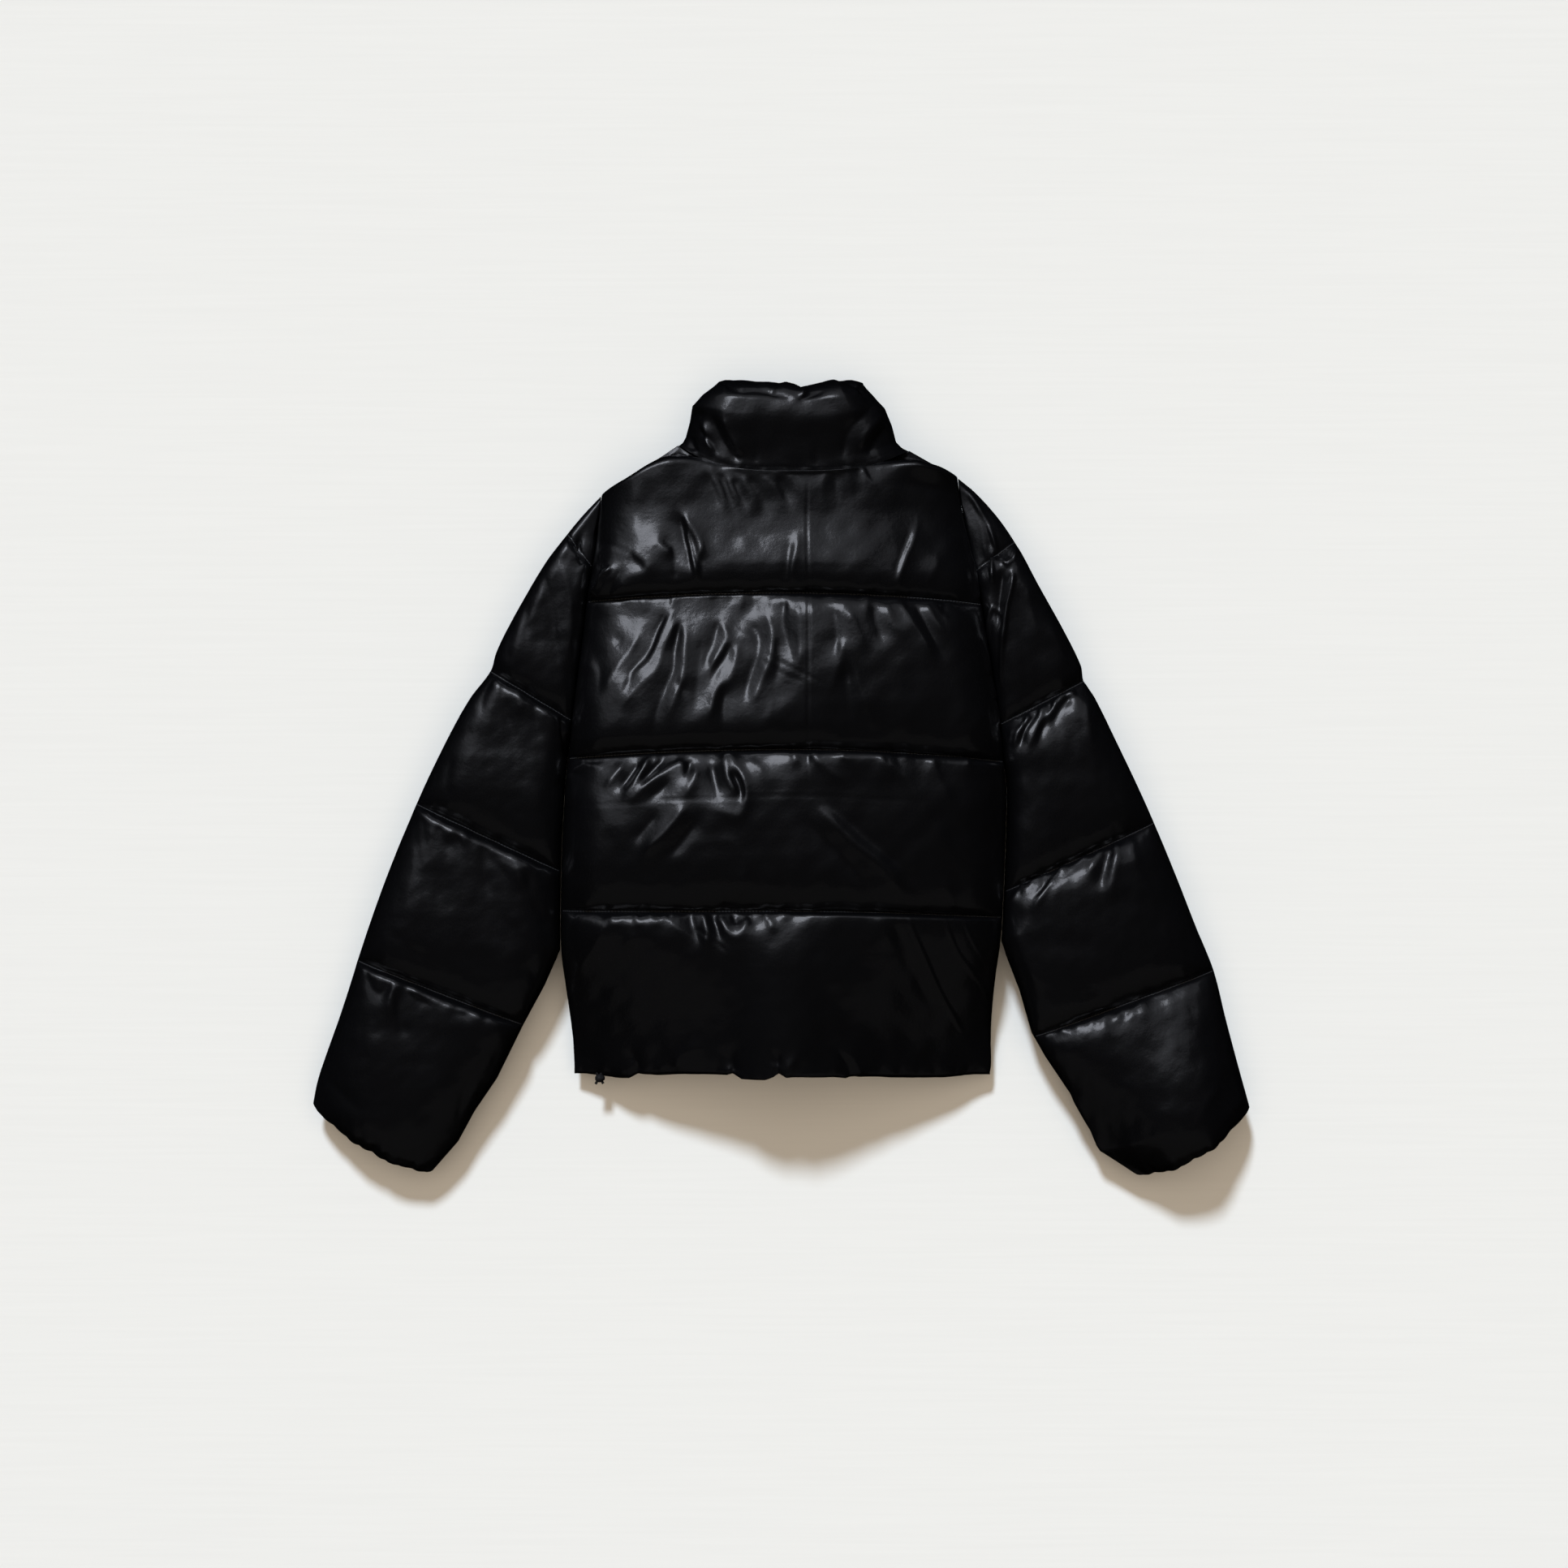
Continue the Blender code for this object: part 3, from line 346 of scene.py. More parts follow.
def stretch(pins, p, reach, rounds=260, over=1.72):
    """Heights of cloth drawn taut between the pinned crests and valleys.

    Away from them it falls back to the puff's own shape over about reach mm.
    """
    c, cv = pins
    eu, ev = lengths(p)
    wu = 1.0 / np.maximum(eu, 0.35) ** 2
    wv = 1.0 / np.maximum(ev, 0.35) ** 2
    wl, wr = wu[1:-1, :-1], wu[1:-1, 1:]
    wa, wb = wv[:-1, 1:-1], wv[1:, 1:-1]
    total = wl + wr + wa + wb + 1.0 / reach ** 2 + c[1:-1, 1:-1]
    fixed = cv[1:-1, 1:-1]
    h = np.zeros_like(c)
    i, j = np.indices(fixed.shape)
    red = ((i + j) % 2 == 0).astype(float) * over
    black = over - red
    for _ in range(rounds):
        for turn in (red, black):
            new = (wl * h[1:-1, :-2] + wr * h[1:-1, 2:] + wa * h[:-2, 1:-1] + wb * h[2:, 1:-1] + fixed) / total
            h[1:-1, 1:-1] += turn * (new - h[1:-1, 1:-1])
    h[0], h[-1] = h[1], h[-2]
    return h


def soften(h, passes=1):
    for _ in range(passes):
        h = h.copy()
        h[:, 1:-1] = 0.5 * h[:, 1:-1] + 0.25 * (h[:, 2:] + h[:, :-2])
        h[1:-1] = 0.5 * h[1:-1] + 0.25 * (h[2:] + h[:-2])
    return h


def gathers(field, x, y, line, inward, spacing, length, wide, high, seed, lean=0.0, spread=0.25, part=(0.0, 1.0), size=0.75):
    """Small uneven gathers that run off a sewn line into the puff.

    line is the seam as an array of points, inward the way into the cloth; spacing, length,
    wide and high are (least, most); lean tilts them along the seam.
    """
    rng = np.random.default_rng(seed)
    seg = np.diff(line, axis=0)
    lens = np.hypot(seg[:, 0], seg[:, 1])
    start = np.concatenate([[0], np.cumsum(lens)])
    s = start[-1] * part[0] + rng.uniform(*spacing) * 0.5
    while s < start[-1] * part[1]:
        i = min(np.searchsorted(start, s, side="right") - 1, len(seg) - 1)
        p = line[i] + seg[i] * (s - start[i]) / lens[i]
        t = seg[i] / lens[i]
        n = np.array([-t[1], t[0]])
        if n @ np.asarray(inward, float) < 0:
            n = -n
        a = lean + rng.normal(0, spread)
        d = n * math.cos(a) + t * math.sin(a)
        big = rng.uniform() ** 1.8
        far = lerp(length[0], length[1], big)
        w = lerp(wide[0], wide[1], big * 0.75 + 0.25 * rng.uniform())
        h = lerp(high[0], high[1], big * 0.6 + 0.4 * rng.uniform())
        if rng.uniform() < 0.45:
            h = -h
        curl = rng.normal(0, 0.12) * far
        q = [p + n * 0.8, p + d * far * 0.35 + t * curl * 0.3, p + d * far * 0.7 + t * curl, p + d * far + t * curl * 1.8]
        if isinstance(field, tuple):
            pin(field, x, y, run_through(q, 4.0), h * size, w, fade=(0.02, 0.7), hold=1.6)
        else:
            crease(field, x, y, run_through(q, 4.0), h, w, fade=(0.12, 0.6), lean=rng.uniform(-0.3, 0.3))
        s += rng.uniform(*spacing)


# ---------------------------------------------------------------- grids and meshes
def normals(p):
    du = np.empty_like(p)
    dv = np.empty_like(p)
    du[:, 1:-1] = p[:, 2:] - p[:, :-2]
    du[:, 0], du[:, -1] = p[:, 1] - p[:, 0], p[:, -1] - p[:, -2]
    dv[1:-1] = p[2:] - p[:-2]
    dv[0], dv[-1] = p[1] - p[0], p[-1] - p[-2]
    n = np.cross(dv, du)
    n /= np.maximum(np.linalg.norm(n, axis=2, keepdims=True), 1e-9)
    return n


def skin(name, parts):
    """One mesh of grids of points in mm. Each part: (points, whether its faces turn over)."""
    verts, quads, base = [], [], 0
    for p, flip in parts:
        r, c = p.shape[:2]
        verts.append(p.reshape(-1, 3))
        i = (np.arange(r - 1)[:, None] * c + np.arange(c - 1)[None, :]).reshape(-1) + base
        q = np.stack([i, i + c, i + c + 1, i + 1], axis=1)
        if flip:
            q = q[:, ::-1]
        quads.append(q)
        base += r * c
    v = np.vstack(verts).astype(np.float32) * MM
    q = np.vstack(quads).astype(np.int32)
    mesh = bpy.data.meshes.new(name)
    mesh.vertices.add(len(v))
    mesh.vertices.foreach_set("co", v.ravel())
    mesh.loops.add(q.size)
    mesh.loops.foreach_set("vertex_index", q.ravel())
    mesh.polygons.add(len(q))
    mesh.polygons.foreach_set("loop_start", np.arange(0, q.size, 4, dtype=np.int32))
    mesh.polygons.foreach_set("loop_total", np.full(len(q), 4, np.int32))
    mesh.update(calc_edges=True)
    mesh.validate()
    mesh.shade_smooth()
    obj = bpy.data.objects.new(name, mesh)
    bpy.context.scene.collection.objects.link(obj)
    return obj


def lengths(p):
    """Lengths between neighbours along rows and along columns."""
    return np.linalg.norm(np.diff(p, axis=1), axis=2), np.linalg.norm(np.diff(p, axis=0), axis=2)


# ---------------------------------------------------------------- the back
def top_y(x, cut, mid=None):
    """y of the shoulder and neck seam at x."""
    t = np.clip((x - NECK_LEFT[0]) / (NECK_RIGHT[0] - NECK_LEFT[0]), 0, 1)
    neck = neck_y(t, cut)
    sl, sr = (EDGE_LEFT[0][1], EDGE_LEFT[0][0]), (EDGE_RIGHT[0][1], EDGE_RIGHT[0][0])
    left = np.interp(x, [sl[0], NECK_LEFT[0]], [sl[1], NECK_LEFT[1]])
    right = np.interp(x, [NECK_RIGHT[0], sr[0]], [NECK_RIGHT[1], sr[1]])
    return np.where(x < NECK_LEFT[0], left, np.where(x > NECK_RIGHT[0], right, neck))


def side_columns(count):
    """Shares across the back: crowded at both side seams, even between."""
    n = max(24, count)
    t = np.linspace(0, 1, n + 1)
    return lerp(t, 0.5 - 0.5 * np.cos(np.pi * t), 0.28)


# hem scallops: chart x and how far below the straight hem the cloth bulges, in mm
HEM_WAVE = (
    (700, 0.5), (712, 1.0), (731, 2.2), (758, 4.4), (775, 4.2), (786, -1.0), (811, 0.0), (843, -1.4),
    (896, -0.8), (903, -2.6), (914, 3.6), (943, 4.4), (953, 1.0), (960, -3.2), (968, 1.0), (1000, 1.4), (1027, 1.2),
    (1042, 2.8), (1052, 0.6), (1090, 2.0), (1123, 2.8), (1164, 3.2), (1221, 1.2), (1230, 0.0),
)
# creases of the back: kind of path on the chart, height, half width (mm), lean, fades
BACK_CREASES = (
    # upper puff
    (((838, 638), (845, 659), (852, 681), (855, 716)), -2.8, 4.0, 0.0, (0.1, 0.25)),
    (((841, 637), (850, 649), (864, 668), (867, 681), (866, 700)), 3.0, 4.0, 0.0, (0.15, 0.3)),
    (((847, 652), (853, 675), (859, 702), (858, 719)), 2.0, 4.0, 0.0, (0.2, 0.2)),
    (((851, 655), (857, 680), (862, 705)), -0.6, 4.0, 0.0, (0.2, 0.3)),
    (((868, 684), (867, 700), (868, 716)), -1.8, 4.0, 0.0, (0.3, 0.3)),
    (((816, 663), (826, 673), (833, 684), (831, 723)), -2.8, 5.0, 0.0, (0.2, 0.2)),
    (((801, 672), (816, 671), (826, 679), (834, 687)), 2.0, 4.0, 0.0, (0.2, 0.3)),
    (((776, 684), (784, 696), (796, 704)), -1.4, 4.0, 0.0, (0.2, 0.3)),
    (((769, 680), (781, 688), (795, 696), (808, 712)), 1.4, 5.0, 0.0, (0.3, 0.3)),
    (((757, 700), (752, 708), (745, 713), (738, 725), (729, 733)), 3.0, 4.0, 0.0, (0.15, 0.1)),
    (((772, 704), (762, 716), (752, 733)), -1.8, 6.0, 0.0, (0.3, 0.2)),
    (((735, 690), (748, 682), (764, 684)), 1.6, 4.0, 0.0, (0.3, 0.3)),
    (((742, 700), (737, 712), (731, 724)), -1.2, 4.0, 0.0, (0.3, 0.3)),
    (((872, 588), (880, 612), (888, 640)), -1.0, 5.0, 0.0, (0.1, 0.5)),
    (((890, 588), (897, 612), (905, 640)), -1.0, 5.0, 0.0, (0.1, 0.5)),
    (((905, 594), (914, 616), (925, 640)), -1.1, 5.0, 0.0, (0.1, 0.5)),
    (((881, 590), (889, 612), (897, 636)), 0.9, 5.0, 0.0, (0.1, 0.5)),
    (((898, 592), (906, 612), (914, 636)), 0.9, 5.0, 0.0, (0.1, 0.5)),
    (((925, 590), (938, 614), (950, 640)), -1.1, 5.0, 0.0, (0.1, 0.5)),
    (((916, 590), (926, 612), (938, 640)), 1.0, 5.0, 0.0, (0.1, 0.5)),
    (((905, 640), (911, 656), (917, 680), (920, 700)), 0.4, 6.0, 0.0, (0.35, 0.35)),
    (((941, 588), (959, 614), (972, 640)), 1.2, 5.0, 0.0, (0.1, 0.6)),
    (((957, 590), (968, 612), (976, 634)), -1.1, 5.0, 0.0, (0.1, 0.6)),
    (((970, 588), (982, 607), (990, 630)), 1.0, 5.0, 0.0, (0.1, 0.6)),
    (((1017, 587), (1013, 608), (1018, 640)), 1.0, 5.0, 0.0, (0.1, 0.6)),
    (((1040, 584), (1048, 600), (1052, 630)), 1.0, 5.0, 0.0, (0.1, 0.6)),
    (((1028, 586), (1030, 606), (1034, 634)), -1.0, 5.0, 0.0, (0.1, 0.6)),
    (((984, 655), (980, 687), (976, 705), (975, 722)), 2.5, 5.0, -0.2, (0.35, 0.25)),
    (((974, 668), (969, 700), (967, 722)), -0.9, 7.0, 0.0, (0.35, 0.25)),
    (((1132, 640), (1120, 673), (1109, 702), (1101, 736)), 2.6, 5.0, 0.25, (0.3, 0.2)),
    (((1124, 650), (1110, 690), (1101, 720)), -0.6, 6.0, 0.0, (0.3, 0.3)),
    (((1158, 684), (1148, 706), (1140, 728)), 2.0, 5.0, 0.2, (0.3, 0.3)),
    (((1061, 580), (1075, 600), (1084, 622)), 1.6, 5.0, 0.0, (0.1, 0.6)),
    # second puff
    (((742, 757), (729, 778), (730, 800), (743, 831), (741, 859)), -0.94, 5.0, 0.0, (0.2, 0.3)),
    (((757, 785), (764, 792), (769, 789)), -1.35, 3.0, 0.0, (0.2, 0.2)),
    (((791, 776), (781, 800), (764, 824), (747, 854)), 1.89, 5.0, 0.0, (0.25, 0.15)),
    (((822, 757), (805, 797), (785, 828), (766, 857)), -1.76, 6.0, 0.0, (0.1, 0.2)),
    (((834, 750), (816, 785), (802, 816), (781, 835), (769, 852), (762, 872)), 1.76, 4.0, 0.0, (0.08, 0.12)),
    (((838, 764), (822, 795), (814, 818), (807, 831), (788, 849), (765, 874)), 2.16, 4.0, 0.0, (0.1, 0.12)),
    (((839, 768), (833, 807), (829, 831), (816, 866), (809, 890), (807, 921)), -2.03, 4.0, 0.0, (0.1, 0.15)),
    (((845, 766), (847, 804), (841, 842), (826, 887)), 1.76, 7.0, 0.0, (0.15, 0.2)),
    (((868, 775), (866, 800), (860, 840), (856, 880)), -1.22, 6.0, 0.0, (0.3, 0.3)),
    (((830, 838), (840, 849), (851, 861)), -0.54, 3.0, 0.0, (0.2, 0.2)),
    (((886, 768), (879, 792), (872, 818), (872, 831)), -1.76, 4.0, 0.0, (0.1, 0.25)),
    (((891, 771), (897, 787), (888, 807), (878, 825)), 1.76, 4.0, 0.0, (0.1, 0.2)),
    (((899, 797), (894, 812), (884, 828), (878, 842)), -1.22, 4.0, 0.0, (0.15, 0.2)),
    (((904, 795), (909, 809), (904, 831), (900, 842), (888, 846), (881, 859), (876, 890)), 2.03, 3.6, 0.0, (0.1, 0.15)),
    (((902, 818), (890, 835), (880, 856), (875, 876)), 1.22, 3.6, 0.0, (0.2, 0.2)),
    (((895, 850), (891, 873), (893, 907), (895, 922)), -2.56, 5.0, 0.0, (0.1, 0.1)),
    (((919, 770), (934, 785), (935, 804), (926, 831), (917, 866)), -1.89, 5.0, 0.0, (0.12, 0.2)),
    (((943, 754), (952, 778), (952, 804), (945, 828), (933, 856), (921, 871)), 1.89, 6.0, 0.0, (0.12, 0.15)),
    (((958, 790), (961, 815), (954, 845)), -1.22, 6.0, 0.0, (0.25, 0.3)),
    (((967, 742), (965, 777), (979, 820)), -1.49, 5.0, 0.0, (0.08, 0.25)),
    (((980, 747), (987, 777), (986, 825)), 1.89, 4.0, 0.0, (0.1, 0.2)),
    (((955, 855), (950, 876), (943, 897)), 1.08, 4.0, 0.0, (0.3, 0.3)),
    (((888, 770), (908, 780), (930, 794)), 0.61, 3.6, 0.0, (0.2, 0.4)),
    (((996, 742), (1000, 770), (1003, 812)), 1.0, 7.0, 0.0, (0.1, 0.5)),
    (((1024, 748), (1030, 780), (1026, 812)), -2.25, 8.0, 0.0, (0.2, 0.4)),
    (((1045, 754), (1052, 771), (1060, 793), (1066, 812)), 2.4, 6.0, 0.2, (0.15, 0.4)),
    (((1074, 748), (1080, 770), (1086, 796)), -1.95, 6.0, 0.0, (0.15, 0.4)),
    (((1090, 746), (1097, 767), (1109, 790)), 1.95, 5.0, 0.2, (0.1, 0.4)),
    (((1107, 744), (1119, 767), (1137, 796), (1153, 826)), 2.25, 5.5, 0.2, (0.1, 0.4)),
    (((1126, 748), (1140, 776), (1160, 812)), -1.8, 5.0, 0.0, (0.1, 0.5)),
    (((1139, 748), (1152, 772), (1164, 790)), 1.95, 4.0, 0.2, (0.1, 0.4)),
    (((1146, 746), (1158, 758), (1172, 774)), 1.5, 3.6, 0.2, (0.1, 0.4)),
    (((1019, 860), (1032, 826), (1039, 798), (1053, 829), (1068, 873), (1080, 912)), 1.95, 5.0, 0.0, (0.2, 0.3)),
    (((1041, 822), (1044, 860), (1046, 900)), -1.95, 8.0, 0.0, (0.2, 0.4)),
    (((1165, 905), (1180, 885), (1196, 868)), 1.05, 4.0, 0.0, (0.3, 0.3)),
    (((1182, 915), (1196, 898), (1208, 884)), 1.05, 4.0, 0.0, (0.3, 0.3)),
    # third puff
    (((697, 968), (707, 952), (721, 943), (738, 945), (748, 938)), 2.8, 4.6, 0.2, (0.2, 0.3)),
    (((749, 972), (759, 958), (772, 941)), 3.0, 6.0, 0.2, (0.3, 0.2)),
    (((802, 932), (791, 954), (778, 977), (770, 987)), 3.6, 4.0, 0.2, (0.1, 0.2)),
    (((789, 938), (778, 958), (766, 975)), -3.0, 5.0, 0.0, (0.2, 0.3)),
    (((772, 989), (782, 985), (798, 969), (821, 951), (838, 941), (846, 946), (839, 964)), 3.6, 4.2, 0.2, (0.15, 0.25)),
    (((818, 934), (806, 950), (793, 966)), -2.8, 5.0, 0.0, (0.2, 0.3)),
    (((828, 962), (815, 975), (800, 985)), -2.4, 5.0, 0.0, (0.3, 0.3)),
    (((862, 945), (855, 965), (845, 984)), 3.2, 5.0, 0.2, (0.2, 0.3)),
    (((852, 936), (846, 955)), -2.4, 4.0, 0.0, (0.2, 0.3)),
    (((893, 928), (898, 951), (905, 969), (910, 984)), 4.0, 3.8, -0.2, (0.05, 0.25)),
    (((878, 940), (882, 962), (886, 984)), -3.0, 6.0, 0.0, (0.2, 0.4)),
    (((896, 927), (909, 943), (917, 962), (920, 984), (913, 1006), (893, 1000), (866, 991)), 3.8, 4.2, 0.2, (0.05, 0.3)),
    (((905, 950), (911, 966), (915, 984)), -2.4, 3.0, 0.0, (0.2, 0.3)),
    (((848, 990), (833, 1010), (813, 1032), (794, 1054)), 4.2, 7.0, 0.3, (0.15, 0.25)),
    (((862, 1004), (846, 1030), (826, 1056)), -3.0, 9.0, 0.0, (0.3, 0.3)),
    (((816, 1000), (800, 1016), (784, 1036)), -2.6, 7.0, 0.0, (0.3, 0.3)),
    (((919, 936), (935, 947), (943, 970)), 2.6, 7.0, 0.0, (0.15, 0.5)),
    (((1001, 928), (1010, 942), (1030, 956), (1050, 970)), 2.2, 3.6, 0.2, (0.1, 0.5)),
    (((978, 930), (984, 946)), 2.2, 4.0, 0.0, (0.1, 0.5)),
    (((1034, 930), (1048, 942)), 2.4, 3.4, 0.2, (0.1, 0.5)),
    (((1081, 932), (1091, 947), (1103, 967)), 3.0, 3.4, 0.2, (0.05, 0.5)),
    (((1087, 932), (1106, 951), (1124, 973), (1146, 1017), (1184, 1068)), 2.6, 4.4, 0.2, (0.1, 0.3)),
    (((1144, 934), (1157, 965), (1172, 999), (1188, 1022)), 2.4, 4.0, 0.2, (0.05, 0.35)),
    (((1182, 934), (1195, 948)), 2.6, 3.0, 0.2, (0.05, 0.5)),
    (((998, 984), (1050, 1036), (1094, 1076), (1114, 1115)), 3.2, 6.0, 0.2, (0.3, 0.2)),
    (((984, 1000), (1030, 1050), (1068, 1092)), -2.6, 9.0, 0.0, (0.3, 0.3)),
    (((1012, 982), (1064, 1028), (1110, 1070), (1130, 1106)), -2.2, 7.0, 0.0, (0.3, 0.3)),
    (((1158, 1080), (1168, 1100), (1174, 1116)), 1.8, 4.0, 0.0, (0.3, 0.1)),
    (((858, 1040), (900, 1034), (918, 1060), (915, 1094), (890, 1114)), 1.6, 8.0, 0.0, (0.3, 0.3)),
    # lowest puff
    (((754, 1126), (757, 1137), (768, 1131), (772, 1124)), 2.2, 2.6, 0.0, (0.1, 0.2)),
    (((786, 1124), (790, 1137), (800, 1129)), 2.6, 4.0, 0.0, (0.1, 0.3)),
    (((802, 1122), (809, 1136), (822, 1131), (830, 1134), (838, 1143), (848, 1151)), 3.0, 3.4, 0.2, (0.1, 0.3)),
    (((828, 1124), (836, 1134), (842, 1130)), 2.2, 2.6, 0.0, (0.1, 0.3)),
    (((866, 1124), (872, 1141), (871, 1166)), 3.8, 5.0, 0.0, (0.05, 0.3)),
    (((852, 1124), (856, 1142), (862, 1158)), -2.8, 4.0, 0.0, (0.05, 0.4)),
    (((887, 1126), (896, 1144), (909, 1151), (917, 1141), (924, 1126)), 3.0, 3.2, 0.0, (0.1, 0.15)),
    (((880, 1124), (884, 1142), (890, 1160)), -2.6, 4.0, 0.0, (0.05, 0.4)),
    (((904, 1124), (908, 1136)), -2.4, 4.0, 0.0, (0.05, 0.3)),
    (((943, 1123), (948, 1134), (955, 1148)), 2.8, 3.6, 0.2, (0.05, 0.4)),
    (((962, 1123), (972, 1132)), 2.0, 3.4, 0.0, (0.05, 0.5)),
    (((1100, 1130), (1112, 1166), (1130, 1205), (1150, 1240)), -2.6, 8.0, 0.0, (0.2, 0.3)),
    (((1080, 1127), (1088, 1144), (1095, 1162)), 1.0, 4.0, 0.0, (0.1, 0.4)),
    (((750, 1134), (735, 1163), (718, 1189), (712, 1206)), 2.0, 4.4, 0.0, (0.15, 0.3)),
    (((788, 1146), (778, 1157), (768, 1168)), 2.0, 4.6, 0.0, (0.2, 0.4)),
    (((838, 1318), (836, 1304), (850, 1292), (872, 1288)), 2.4, 5.0, 0.0, (0.1, 0.4)),
    (((903, 1318), (898, 1302), (886, 1290)), -3.0, 5.0, 0.0, (0.05, 0.5)),
    (((960, 1320), (957, 1300), (948, 1286)), -4.0, 4.4, 0.0, (0.05, 0.5)),
    (((972, 1322), (974, 1306), (985, 1294)), 2.4, 6.0, 0.0, (0.05, 0.5)),
    (((1048, 1322), (1044, 1304), (1030, 1290)), -3.0, 5.0, 0.0, (0.05, 0.5)),
    (((1060, 1322), (1050, 1300), (1038, 1292)), 2.0, 5.0, 0.0, (0.05, 0.5)),
    (((786, 1320), (780, 1302), (770, 1292)), -3.0, 5.0, 0.0, (0.05, 0.5)),
)
CREASE_HIGH = 1.0
BACK_REACH, SLEEVE_REACH, COLLAR_REACH = 11.0, 9.0, 8.0      # how far a crease is felt, mm
# raised rims along the armhole seams, where the puff's edge stands up: path, height, half width
BACK_RIMS = (
    (((1180, 620), (1188, 656), (1195, 688), (1202, 720), (1205, 742)), 3.4, 2.4),
    (((1208, 770), (1211, 796), (1215, 816), (1217, 832)), 2.6, 2.4),
    (((1214, 812), (1219, 832), (1222, 850), (1224, 862)), 2.8, 2.4),
    (((1221, 846), (1226, 870), (1229, 894)), 2.8, 2.4),
    (((757, 700), (751, 708), (745, 712), (741, 722), (735, 727), (729, 734)), 1.8, 1.7),
    (((752, 704), (746, 709), (742, 717), (736, 722)), 1.0, 1.4),
    (((1116, 1124), (1123, 1145), (1137, 1177), (1152, 1211), (1166, 1238), (1188, 1274)), 1.8, 1.8),
    (((1161, 1128), (1169, 1152), (1181, 1177), (1197, 1197), (1209, 1213), (1219, 1238)), 1.3, 1.7),
    (((1184, 1130), (1198, 1160), (1212, 1182), (1222, 1204)), 0.8, 1.6),
)
SLEEVE_RIMS = (
    (((1216, 636), (1219, 652), (1226, 676), (1222, 684), (1221, 722)), 2.6, 2.0),
    (((1192, 606), (1202, 620), (1212, 640)), 2.0, 2.6),
    (((1247, 702), (1245, 722), (1238, 748), (1236, 772), (1233, 800), (1231, 850)), 2.2, 2.0),
    (((1217, 796), (1217, 762), (1221, 750), (1228, 754), (1237, 761)), 2.0, 1.6),
    (((1233, 693), (1240, 696), (1247, 689), (1250, 676)), 1.5, 1.6),
    (((712, 666), (716, 686), (720, 698)), 2.4, 1.8),
    (((744, 612), (740, 636), (735, 664)), 2.0, 1.8),
    (((694, 886), (697, 910), (702, 940)), 2.6, 1.9),
)
# thin pressed lines left by folding: path, depth, half width
BACK_PRESSED = (
    (((995, 586), (994, 660), (996, 760), (995, 880), (996, 990)), -0.55, 1.5),
    (((694, 992), (782, 989), (833, 985), (914, 982), (996, 981), (1100, 985), (1180, 990)), -0.42, 1.4),
    (((940, 806), (965, 820), (990, 832), (1018, 846)), -0.5, 1.6),
    (((938, 816), (964, 832), (992, 842)), -0.4, 1.6),
    (((858, 1140), (880, 1156), (900, 1172)), -0.7, 1.6),
    (((735, 667), (760, 676), (790, 690)), -0.5, 1.6),
)


